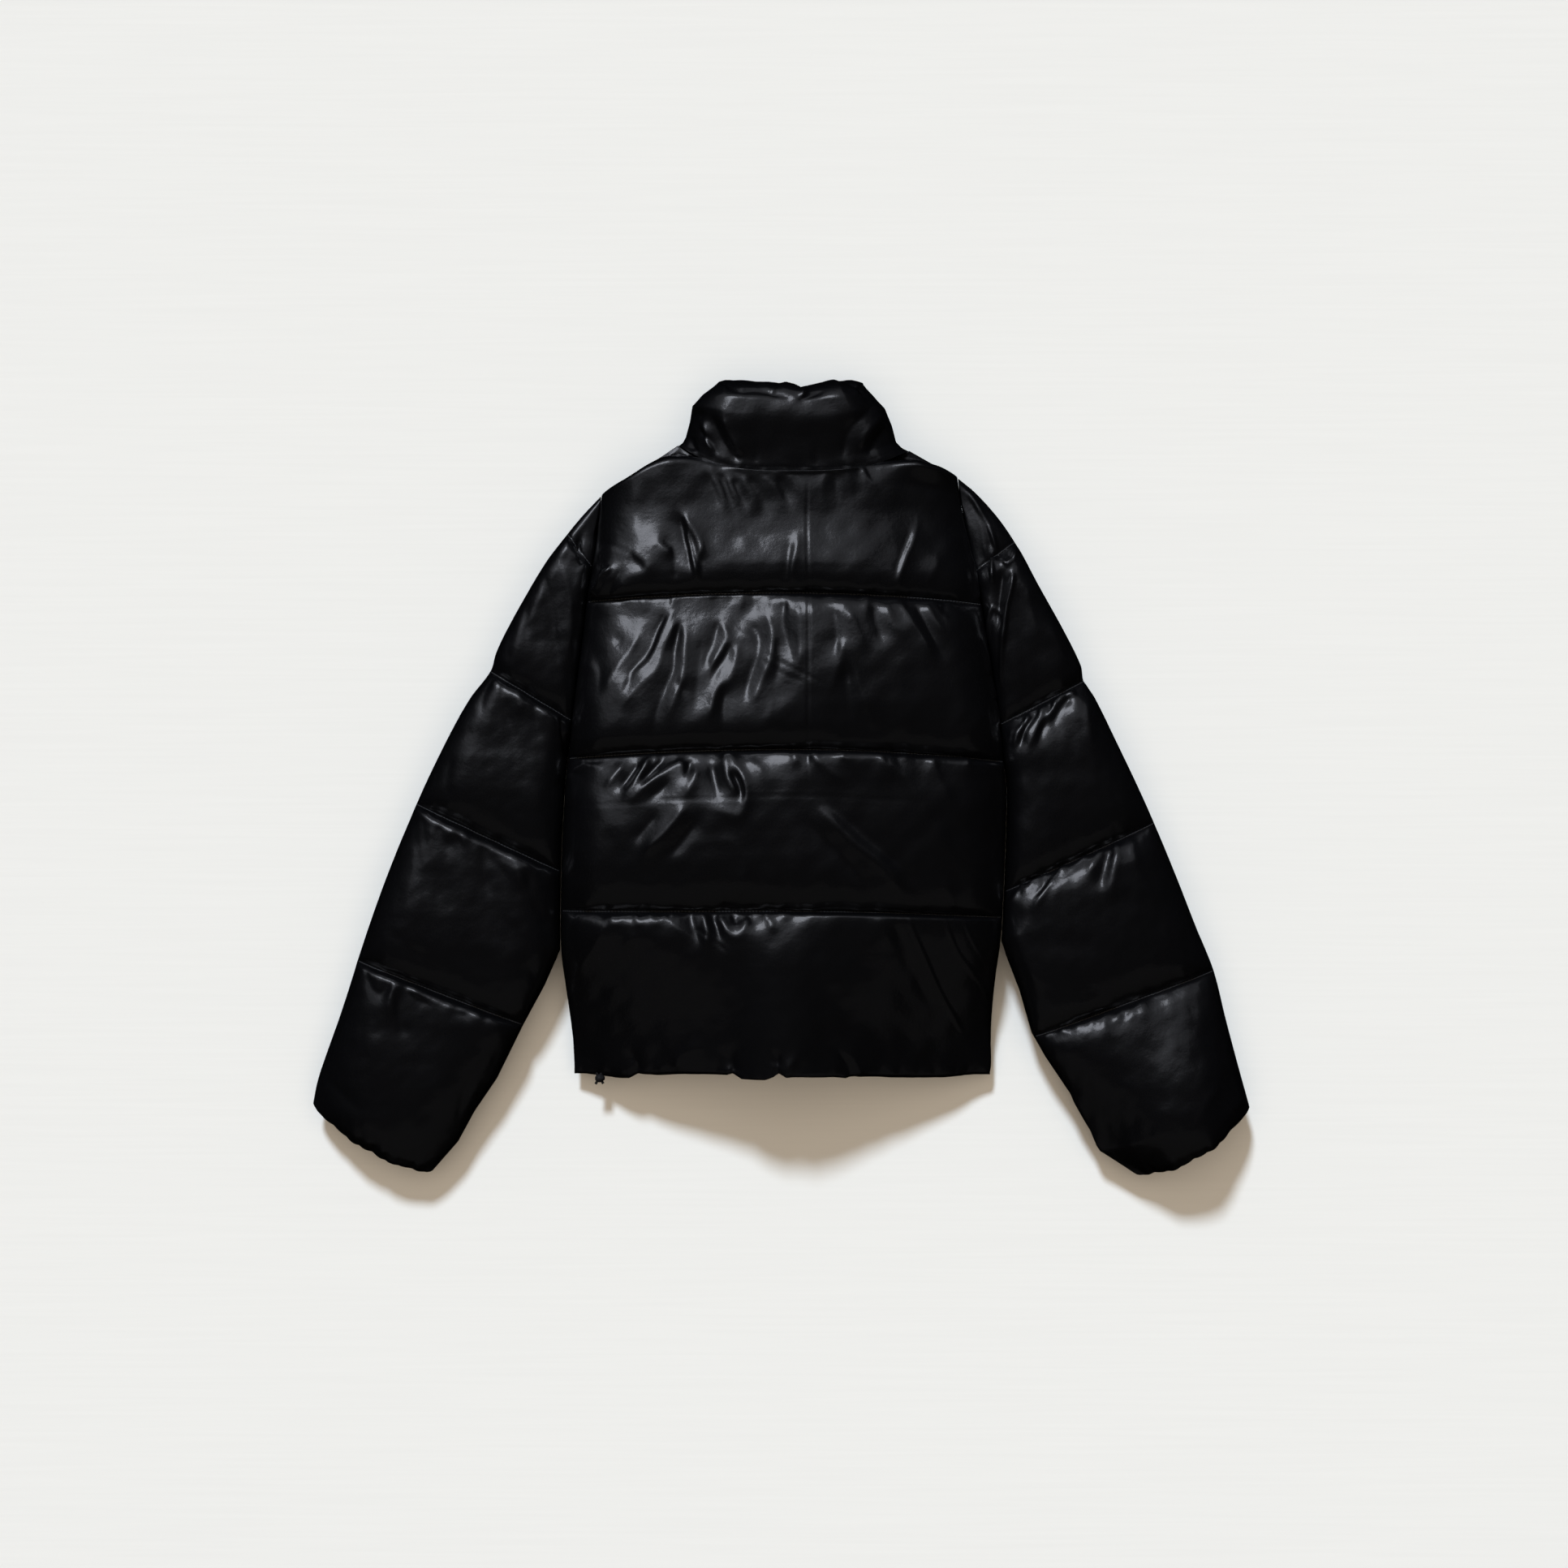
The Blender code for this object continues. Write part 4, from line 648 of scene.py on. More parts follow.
def make_back():
    u = side_columns(280)
    ups = [(None, TOP_ROW[0], TOP_ROW[1], TOP_ROW[2], TOP_ROW[3])] + [(l[0], l[1], l[2], l[3], l[4]) for l in BODY_LINES]
    rows = []
    for k in range(4):
        shares = dense((64, 80, 80, 82)[k])
        rows += [(k, f) for f in (shares[:-1] if k < 3 else shares)]
    pts = np.zeros((len(rows), len(u), 3))
    info = np.zeros((len(rows), 2))
    hem_x = np.linspace(-210.0, 218.0, 108)
    hem_z = np.interp(hem_x, [(c - 963.0) * CHART for c, _ in HEM_HEIGHT], [h for _, h in HEM_HEIGHT])
    hem_z = np.convolve(np.pad(hem_z, 3, mode="edge"), np.ones(7) / 7.0, mode="valid")
    for i, (k, f) in enumerate(rows):
        up, down = ups[k], ups[k + 1]
        el = lerp(EDGE_LEFT[0][0] if k == 0 else up[0][0], down[0][0], f)
        er = lerp(EDGE_RIGHT[0][0] if k == 0 else up[0][2], down[0][2], f)
        xl, xr = float(smooth_at(EDGE_LEFT, el)), float(smooth_at(EDGE_RIGHT, er))
        x = lerp(xl, xr, u)
        if k == 0:
            xt = lerp(EDGE_LEFT[0][1], EDGE_RIGHT[0][1], u)
            y_up = top_y(xt, BACK_NECK)
        else:
            y_up = quilt_y(up[0], u)
        y = lerp(y_up, quilt_y(down[0], u), f)
        if k == 0:
            soft = np.mean([top_y(xt + a, BACK_NECK) for a in np.linspace(-34.0, 34.0, 18)], axis=0)
            g = np.clip((soft - y) / (soft - quilt_y(down[0], u)), 0.0, 1.0)
        else:
            g = f * np.ones_like(u)
        fall = (lerp(2.2, 2.8, f), 2.8, lerp(2.8, 2.4, f), lerp(2.4, 1.12, step(f)))[k]
        off = np.maximum(np.sqrt((2 * u - 1) ** 2 + 0.006) - math.sqrt(0.006), 0.0) / (math.sqrt(1.006) - math.sqrt(0.006))
        crown = 1.0 - np.minimum(off, 1.0) ** fall
        line = lerp(lerp(up[2], up[1], crown), lerp(down[2], down[1], crown), g)
        if k == 0:
            t = np.clip((x - NECK_LEFT[0]) / (NECK_RIGHT[0] - NECK_LEFT[0]), 0, 1)
            arch = step(np.minimum(t, 1 - t) / 0.30 + 0.0)
            out = np.clip(np.where(x < 0, (x - xl) / (NECK_LEFT[0] - xl), (xr - x) / (xr - NECK_RIGHT[0])), 0, 1)
            seam = lerp(Z_SEAM + 2.0 + 9.0 * out, TOP_ROW[0], arch)
            line = lerp(seam, line, rounded(g * 3.2, 2.2))
        full = lerp(up[4], up[3], crown)
        lay = lerp(soft_table(BACK_SHAPES[k], g), soft_table(BACK_SHAPES_RIGHT[k], g), step((u - 0.37) / 0.28))
        if k == 3:
            lay = lerp(soft_table(LOW_LEFT_SHAPE, g), lay, step((u - 0.10) / 0.22))
            hem = np.interp(x, hem_x, hem_z)
            line = lerp(lerp(up[2], up[1], crown), hem, g ** 1.15)
            full = lerp(full, hem + 5.0, step(g))
        z = lerp(line, full, lay)
        if k == 0:
            # beside the neck the cloth turns up over the shoulder seams, lies nearly level, then climbs
            ledge, peak = lerp(78.0, 88.0, crown), lerp(86.0, 96.0, crown)
            tail = soft_table(((0, 1), (0.82, 1), (0.88, 0.93), (0.94, 0.74), (0.975, 0.46), (1, 0)), g)
            low = lerp(down[2], down[1], crown)
            px = x / CHART + 963.0
            beside_neck = np.maximum(1.0 - step((px - 826.0) / 110.0), step((px - 1040.0) / 100.0))
            high = lerp(seam, ledge, rounded(g / 0.055, 2.3)) + (peak - ledge) * step((g - 0.33) / 0.5)
            high -= 13.0 * step((px - 960.0) / 240.0) * step(g / 0.2)
            z = lerp(z, lerp(low, high, tail), beside_neck)
        o = np.where(u < 0.5, armhole(y, EDGE_LEFT[0][0], UNDERARM_LEFT), armhole(y, EDGE_RIGHT[0][0], UNDERARM_RIGHT))
        edge = seam_z(y) + 0.3 + ARMHOLE_OPEN * o
        near = np.minimum(x - xl, xr - x) / EDGE_ROUND
        z = lerp(edge, z, rounded(near, 2.5))
        pts[i] = np.stack([x, y, z], 1)
        info[i] = (k, f)
    x, y = pts[..., 0], pts[..., 1]
    n = normals(pts)
    f = info[:, 1][:, None] * np.ones_like(x)
    k = info[:, 0][:, None] * np.ones_like(x)
    near = np.minimum(x - x[:, :1], x[:, -1:] - x)
    inside = step(near / 14.0)
    on_seam = step(np.minimum(f, 1 - f) / 0.035)
    hem = (k == 3) & (f > 0.5)
    on_seam = np.where(hem, 1.0, on_seam)

    pins = (np.zeros_like(x), np.zeros_like(x))
    wob_x = x + 1.2 * noise_field(x, y, 60, 11)
    wob_y = y + 1.2 * noise_field(x, y, 70, 12)
    for path, high, wide, lean, fade in BACK_CREASES:
        pin(pins, wob_x, wob_y, run_through(chart(path)), high * CREASE_HIGH, wide, fade)
    seams = []
    for j, l in enumerate(BODY_LINES[:3]):
        uu = np.linspace(0.012, 0.988, 80)
        yy = quilt_y(l[0], uu)
        xx = np.array([lerp(float(smooth_at(EDGE_LEFT, l[0][0])), float(smooth_at(EDGE_RIGHT, l[0][2])), a) for a in uu])
        seams.append(np.stack([xx, yy], 1))
    # below each line, then above it
    gathers(pins, x, y, seams[0], (0, -1), (7, 15), (6, 26), (2.2, 5.0), (0.4, 1.6), 21, spread=0.3)
    gathers(pins, x, y, seams[1], (0, -1), (6, 14), (6, 22), (2.2, 4.0), (0.4, 1.6), 22, lean=0.15)
    gathers(pins, x, y, seams[2], (0, -1), (4, 8), (4, 16), (1.6, 3.0), (0.5, 1.6), 23, part=(0.0, 0.55))
    gathers(pins, x, y, seams[2], (0, -1), (8, 18), (4, 12), (1.6, 3.0), (0.1, 0.4), 24, part=(0.55, 0.84), lean=-0.2)
    gathers(pins, x, y, seams[2], (0, -1), (5, 10), (4, 10), (1.5, 2.4), (0.2, 0.6), 25, part=(0.84, 1.0))
    gathers(pins, x, y, seams[0], (0, 1), (7, 18), (5, 20), (2.2, 4.5), (0.4, 1.4), 26)
    gathers(pins, x, y, seams[1], (0, 1), (7, 18), (5, 20), (2.2, 4.0), (0.4, 1.4), 27)
    gathers(pins, x, y, seams[2], (0, 1), (6, 16), (5, 18), (2.0, 4.0), (0.4, 1.3), 28)
    top = np.stack([x[0, 3:-3], y[0, 3:-3]], 1)
    gathers(pins, x, y, top[::max(1, len(top) // 90)], (0, -1), (8, 18), (6, 26), (2.6, 5.0), (0.3, 0.9), 29, lean=0.35, part=(0.26, 0.82))
    for side, cols in ((1, 0), (-1, -1)):
        edge = np.stack([x[:, cols], y[:, cols]], 1)[::4]
        gathers(pins, x, y, edge, (side, 0), (10, 30), (8, 26), (3.0, 6.0), (0.4, 1.5), 31 + side)
    hem_line = np.stack([x[-1, 2:-2], y[-1, 2:-2]], 1)[::3]
    gathers(pins, x, y, hem_line, (0, 1), (8, 22), (6, 24), (2.6, 6.0), (0.5, 1.5), 35)
    sewn = (np.minimum(f, 1 - f) < 0.004) & ~((k == 3) & (f > 0.5)) | (near < 0.5)
    pins[0][sewn] += 30.0

    soft = 1.0 * noise_field(x, y, 120, 5, 2) + 0.35 * noise_field(x, y, 34, 6, 2)
    d = soften(stretch(pins, pts, BACK_REACH)) + soft * inside * on_seam
    pressed = np.zeros_like(x)
    for path, deep, wide in BACK_PRESSED:
        crease(pressed, x, y, run_through(chart(path)), deep, wide, (0.1, 0.2), hat=0.2)
    d += pressed * on_seam * inside
    rims = np.zeros_like(x)
    for path, high, wide in BACK_RIMS:
        crease(rims, x, y, run_through(chart(path)), high, wide, (0.9, 0.06) if high > 2.5 else (0.12, 0.12), hat=0.1)
    d += rims * step(near / 1.2)
    p = pts + n * d[..., None]

    # hem: bulges of the elastic channel, then the roll inwards
    wave = np.interp(x[0] * 0 + x[-1], [(c - 963.0) * CHART for c, _ in HEM_WAVE], [w for _, w in HEM_WAVE])
    reach = step((f - 0.80) / 0.2) * (k == 3)
    p[..., 1] -= reach * wave[None, :] * 0.9
    return p, n, u, info


def finish_back():
    p, n, u, info = make_back()
    z_end = p[-1, :, 2].copy()
    # the roll at the hem: down and in under the edge, then the lining up to the neck
    rows = []
    for a in (0.15, 0.4, 0.65, 0.85, 1.0):
        q = p[-1].copy()
        ang = a * math.pi * 0.5
        near = np.minimum(q[:, 0] - q[0, 0], q[-1, 0] - q[:, 0])
        arch = rounded(near / 60.0)
        low = np.maximum(seam_z(q[:, 1]) + 0.4, lerp(seam_z(q[:, 1]) + 0.4, np.minimum(Z_SEAM + 12.0, z_end - 5.0), arch))
        q[:, 1] -= 3.0 * math.sin(a * math.pi) * arch
        q[:, 2] = lerp(z_end, low, math.sin(ang))
        rows.append(q)
    low_row = rows[-1]
    lining = []
    for y_mid in np.linspace(-280.0, 285.0, 30):
        i = int(np.argmin(np.abs(p[:, p.shape[1] // 2, 1] - y_mid)))
        q = p[i].copy()
        near = np.minimum(q[:, 0] - q[0, 0], q[-1, 0] - q[:, 0])
        arch = rounded(near / 60.0)
        under = np.minimum(Z_SEAM + 12.5, q[:, 2] - 7.0)
        q[:, 2] = np.maximum(seam_z(q[:, 1]) + 0.4, lerp(seam_z(q[:, 1]) + 0.4, under, arch))
        lining.append(q)
    # over the shoulders and round the neck the edge turns down to the seam it is sewn into
    t = np.clip((p[0, :, 0] - NECK_LEFT[0]) / (NECK_RIGHT[0] - NECK_LEFT[0]), 0, 1)
    seam = lerp(Z_SEAM - 4.0, COLLAR_ROWS[0][3] - 0.5, rounded(np.minimum(t, 1 - t) / 0.25, 2.3))
    tuck = []
    for s in (1.0, 0.8, 0.55, 0.3):
        q = p[0].copy()
        q[:, 2] = lerp(q[:, 2], np.minimum(seam, q[:, 2] - 0.5), s)
        tuck.append(q)
    full = np.concatenate([np.array(tuck), p, np.array(rows), np.array(lining)], 0)
    return full, p, [i for i, (k, f) in enumerate(info) if k > 0 and f == 0]


# ---------------------------------------------------------------- the fronts
def make_front(left):
    edge = EDGE_LEFT if left else EDGE_RIGHT
    side = 0 if left else 2
    s_cols = dense(90, 0.5)
    rows, pts = [], []
    ups = [None] + [l[0] for l in BODY_LINES]
    for k in range(4):
        shares = dense(26, 0.6)
        rows += [(k, f) for f in (shares[:-1] if k < 3 else shares)]
    sgn = -5.0 if left else 5.0
    top_stop = float(centre_x(FRONT_NECK["low"])) + sgn
    x_edge0 = edge[0][1]
    for k, f in rows:
        up, down = ups[k], ups[k + 1]
        ye = lerp(edge[0][0] if k == 0 else up[side], down[side], f)
        xe = float(smooth_at(edge, ye))
        y_mid_up = FRONT_NECK["low"] if k == 0 else up[1]
        yc = lerp(y_mid_up, down[1], f)
        xc = float(centre_x(yc)) + sgn
        x = lerp(xe, xc, s_cols)
        u = 0.5 * s_cols if left else 1 - 0.5 * s_cols
        if k == 0:
            xt = lerp(x_edge0, top_stop, s_cols)
            y_up = top_y(xt, FRONT_NECK)
        else:
            y_up = quilt_y(up, u)
        y = lerp(y_up, quilt_y(down, u), f)
        rise = math.sqrt(max(0.0, 1 - (2 * f - 1) ** 2))
        flat = min(1.0, rise / 0.8)
        last = k == 3 and f > 0.999
        lift = (8.0 if k == 3 and f > 0.5 else 16.0) * (1 - flat) ** 1.2
        o = armhole(np.full_like(x, ye), edge[0][0], UNDERARM_LEFT if left else UNDERARM_RIGHT)
        top_z = seam_z(y) - 0.2 - ARMHOLE_OPEN * o
        near = np.abs(x - xe) / EDGE_ROUND
        z = lerp(top_z, lift, rounded(near, 2.5))
        z = np.maximum(z, lerp(17.0, lift, rounded(np.abs(xc - x) / 22.0)))
        if k == 0 and f < 0.25:
            t = np.clip((x - (NECK_LEFT if left else NECK_RIGHT)[0]) / (top_stop - (NECK_LEFT if left else NECK_RIGHT)[0]), 0, 1)
            seam = lerp(Z_SEAM - 4.0, 15.0, rounded(t / 0.5))
            z = lerp(seam, z, step(f * 4))
        pts.append(np.stack([x, y, z], 1))
    p = np.array(pts)
    x, y = p[..., 0], p[..., 1]
    field = np.zeros_like(x)
    seed = 60 if left else 80
    for j, l in enumerate(BODY_LINES[:3]):
        yy = lerp(l[0][1], l[0][side], np.linspace(0.02, 0.98, 40) ** 2)
        xs = lerp(float(centre_x(l[0][1])) + sgn, float(smooth_at(edge, l[0][side])), np.linspace(0.02, 0.98, 40))
        line = np.stack([xs, yy], 1)
        for d in (1, -1):
            gathers(field, x, y, line, (0, d), (9, 22), (8, 36), (3.0, 6.0), (0.6, 2.0), seed + 2 * j + d)
    e = np.stack([x[:, 0], y[:, 0]], 1)[::3]
    gathers(field, x, y, e, (1 if left else -1, 0), (10, 26), (12, 36), (3.4, 6.5), (0.6, 2.2), seed + 9)
    field += 1.2 * noise_field(x, y, 70, seed, 2)
    inside = step(np.abs(x - x[:, :1]) / 12.0) * step(np.abs(x - x[:, -1:]) / 6.0)
    # only upwards from the flat underside: the puffs rest on the surface
    p[..., 2] += np.maximum(field * inside, -0.5 * np.maximum(p[..., 2] - 0.4, 0)) * step((p[..., 2] - 0.2) / 10.0)
    p[..., 2] = np.maximum(p[..., 2], 0.25)
    wave = np.interp(x[-1], [(c - 963.0) * CHART for c, _ in HEM_WAVE], [w for _, w in HEM_WAVE])
    m = len(p)
    w = np.linspace(0, 1, m)
    reach = step((w - 0.93) / 0.07)[:, None]
    p[..., 1] -= reach * wave[None, :] * 0.5
    # round the hem up and in
    rows2 = []
    for a in (0.2, 0.5, 0.8, 1.0):
        q = p[-1].copy()
        q[:, 1] -= 3.0 * math.sin(a * math.pi)
        q[:, 2] = lerp(p[-1, :, 2], np.maximum(seam_z(q[:, 1]) - 1.0, p[-1, :, 2]), math.sin(a * math.pi / 2))
        rows2.append(q)
    lining = []
    for y_mid in np.linspace(-282.0, 268.0, 24):
        i = int(np.argmin(np.abs(p[:, -1, 1] - y_mid)))
        q = p[i].copy()
        q[:, 2] = seam_z(q[:, 1]) - 0.6
        lining.append(q)
    return np.concatenate([p, np.array(rows2), np.array(lining)], 0)


# ---------------------------------------------------------------- the sleeves
LEFT_CREASES = (
    (((521, 1005), (527, 1040), (537, 1080), (549, 1124)), 2.8, 3.4, 0.2, (0.05, 0.3)),
    (((512, 1003), (515, 1040), (524, 1080), (534, 1120)), 2.4, 3.2, 0.2, (0.05, 0.3)),
    (((532, 1012), (540, 1044), (550, 1082), (562, 1122)), 2.0, 3.6, 0.2, (0.05, 0.4)),
    (((541, 1016), (549, 1036), (556, 1044), (559, 1026)), 3.0, 3.0, 0.0, (0.1, 0.2)),
    (((566, 1030), (572, 1046)), 2.4, 3.0, 0.0, (0.1, 0.5)),
    (((598, 1043), (599, 1072), (603, 1106)), 3.4, 3.6, -0.2, (0.05, 0.3)),
    (((598, 1043), (609, 1060), (622, 1074), (630, 1096)), 2.6, 5.0, 0.2, (0.05, 0.5)),
    (((653, 1074), (657, 1096), (665, 1120), (684, 1150)), 2.6, 4.0, 0.2, (0.05, 0.3)),
    (((668, 1070), (676, 1090), (688, 1108)), 2.2, 4.0, 0.2, (0.05, 0.4)),
    (((640, 1066), (644, 1090)), -2.4, 4.0, 0.0, (0.1, 0.4)),
    (((612, 1120), (640, 1150), (655, 1190), (664, 1222)), 2.2, 5.0, 0.2, (0.3, 0.2)),
    (((452, 1192), (458, 1214), (470, 1224), (480, 1218), (481, 1204)), 3.2, 3.2, 0.0, (0.1, 0.15)),
    (((499, 1212), (494, 1232), (496, 1256), (509, 1286)), 3.0, 4.6, -0.2, (0.05, 0.3)),
    (((499, 1212), (516, 1230), (540, 1240)), 2.8, 3.6, 0.2, (0.05, 0.4)),
    (((487, 1212), (484, 1234), (486, 1256)), -2.8, 4.4, 0.0, (0.1, 0.4)),
    (((562, 1234), (568, 1248), (578, 1250), (580, 1240)), 2.4, 2.8, 0.0, (0.1, 0.2)),
    (((598, 1246), (600, 1262)), 2.0, 3.0, 0.0, (0.1, 0.4)),
    (((441, 1190), (434, 1215), (428, 1240)), 1.8, 4.0, 0.0, (0.1, 0.4)),
    (((611, 834), (600, 850), (596, 872), (602, 886)), 3.2, 4.6, 0.2, (0.1, 0.4)),
    (((622, 838), (622, 862), (632, 896), (640, 930)), 2.2, 5.0, 0.2, (0.1, 0.4)),
    (((661, 868), (664, 892), (672, 920)), 2.2, 4.0, 0.2, (0.05, 0.4)),
    (((640, 852), (646, 880)), -2.4, 5.0, 0.0, (0.1, 0.4)),
    (((694, 884), (696, 905), (700, 936)), 3.2, 3.4, -0.2, (0.05, 0.3)),
    (((560, 930), (552, 960), (556, 985)), 1.8, 6.0, 0.0, (0.3, 0.3)),
    (((655, 735), (649, 762), (654, 792)), 2.6, 4.6, 0.2, (0.3, 0.3)),
    (((668, 700), (678, 736), (684, 780), (692, 830)), 2.4, 5.0, 0.2, (0.2, 0.3)),
    (((690, 690), (702, 726), (706, 770), (700, 820)), -2.4, 6.0, 0.0, (0.2, 0.3)),
    (((712, 664), (716, 684), (721, 700)), 2.6, 3.0, 0.2, (0.1, 0.3)),
    (((636, 760), (628, 790), (628, 820)), 1.8, 5.0, 0.0, (0.3, 0.2)),
    (((470, 1140), (500, 1160), (540, 1190)), 1.6, 6.0, 0.0, (0.3, 0.3)),
    (((400, 1330), (420, 1345), (450, 1372)), 2.2, 5.0, 0.0, (0.2, 0.3)),
    (((600, 1300), (576, 1340), (560, 1392)), 2.4, 5.0, 0.0, (0.2, 0.3)),
    (((620, 1290), (598, 1330), (584, 1362)), 2.0, 4.0, 0.0, (0.2, 0.3)),
)
RIGHT_CREASES = (
    (((1326, 852), (1306, 862), (1290, 880), (1272, 905)), 3.4, 5.0, 0.25, (0.1, 0.4)),
    (((1304, 862), (1286, 884), (1270, 910), (1262, 932)), 3.2, 4.6, 0.25, (0.05, 0.4)),
    (((1286, 872), (1268, 894), (1256, 918)), 3.2, 4.4, 0.25, (0.05, 0.4)),
    (((1268, 882), (1254, 902), (1246, 930)), 3.2, 4.4, 0.25, (0.05, 0.4)),
    (((1296, 868), (1284, 890), (1276, 918)), -2.6, 3.6, 0.0, (0.05, 0.4)),
    (((1278, 878), (1262, 900), (1252, 926)), -2.6, 3.6, 0.0, (0.05, 0.4)),
    (((1316, 858), (1300, 880), (1290, 906)), -2.4, 4.4, 0.0, (0.05, 0.4)),
    (((1340, 858), (1338, 890), (1344, 930)), 2.2, 7.0, 0.0, (0.2, 0.4)),
    (((1246, 896), (1242, 926), (1244, 960)), 2.4, 4.0, 0.0, (0.1, 0.4)),
    (((1374, 1036), (1372, 1060), (1368, 1084), (1364, 1112)), 3.6, 3.8, 0.2, (0.08, 0.3)),
    (((1358, 1046), (1346, 1064), (1338, 1084)), 2.8, 4.4, 0.2, (0.08, 0.4)),
    (((1340, 1052), (1322, 1068), (1306, 1090), (1294, 1108)), 3.0, 4.4, 0.2, (0.08, 0.4)),
    (((1316, 1064), (1296, 1080), (1282, 1100), (1274, 1118), (1284, 1110)), 3.2, 4.0, 0.2, (0.08, 0.3)),
    (((1290, 1074), (1268, 1090), (1254, 1110)), 3.2, 4.4, 0.2, (0.08, 0.4)),
    (((1262, 1088), (1250, 1104), (1242, 1124)), 3.0, 4.0, 0.2, (0.08, 0.4)),
    (((1330, 1060), (1314, 1078), (1300, 1100)), -2.4, 3.6, 0.0, (0.08, 0.4)),
    (((1304, 1072), (1286, 1090), (1274, 1106)), -2.4, 3.4, 0.0, (0.08, 0.4)),
    (((1366, 1050), (1356, 1074), (1352, 1100)), -2.4, 4.0, 0.0, (0.1, 0.4)),
    (((1392, 1034), (1396, 1060), (1404, 1092)), 2.0, 5.0, 0.0, (0.1, 0.5)),
    (((1408, 1232), (1406, 1244), (1414, 1252)), 2.4, 2.6, 0.0, (0.05, 0.4)),
    (((1382, 1242), (1376, 1254), (1368, 1262)), 2.6, 3.0, 0.0, (0.05, 0.4)),
    (((1398, 1236), (1392, 1250), (1388, 1262)), 2.4, 2.8, 0.0, (0.05, 0.4)),
    (((1362, 1248), (1358, 1266), (1366, 1282)), 2.8, 3.4, 0.0, (0.05, 0.4)),
    (((1346, 1254), (1340, 1270)), 2.4, 3.0, 0.0, (0.05, 0.4)),
    (((1330, 1260), (1322, 1272)), 2.2, 3.0, 0.0, (0.05, 0.4)),
    (((1310, 1266), (1304, 1276)), 2.2, 2.8, 0.0, (0.05, 0.4)),
    (((1292, 1272), (1288, 1282)), 2.0, 2.8, 0.0, (0.05, 0.4)),
    (((1222, 632), (1226, 664), (1224, 700), (1220, 726)), 3.4, 3.6, 0.2, (0.2, 0.2)),
    (((1204, 622), (1212, 660), (1218, 706)), 2.6, 3.6, 0.2, (0.2, 0.3)),
    (((1232, 692), (1240, 697), (1248, 690), (1250, 680)), 2.8, 3.0, 0.0, (0.15, 0.2)),
    (((1247, 703), (1243, 728), (1238, 754), (1234, 782), (1231, 806)), 3.4, 3.6, 0.2, (0.1, 0.2)),
    (((1234, 706), (1230, 740), (1226, 780)), -2.6, 4.0, 0.0, (0.1, 0.3)),
    (((1262, 720), (1270, 760), (1282, 800)), 2.0, 6.0, 0.0, (0.2, 0.4)),
    (((1290, 760), (1300, 790), (1316, 822)), 1.8, 6.0, 0.0, (0.2, 0.3)),
    (((1246, 1140), (1262, 1180), (1280, 1220)), 1.8, 5.0, 0.0, (0.2, 0.3)),
    (((1320, 1346), (1334, 1370), (1346, 1396), (1358, 1420)), 2.8, 3.6, 0.0, (0.2, 0.1)),
    (((1500, 1330), (1480, 1360), (1462, 1400)), 2.0, 5.0, 0.0, (0.2, 0.2)),
    (((1530, 1350), (1510, 1372)), 2.0, 4.0, 0.0, (0.2, 0.2)),
)


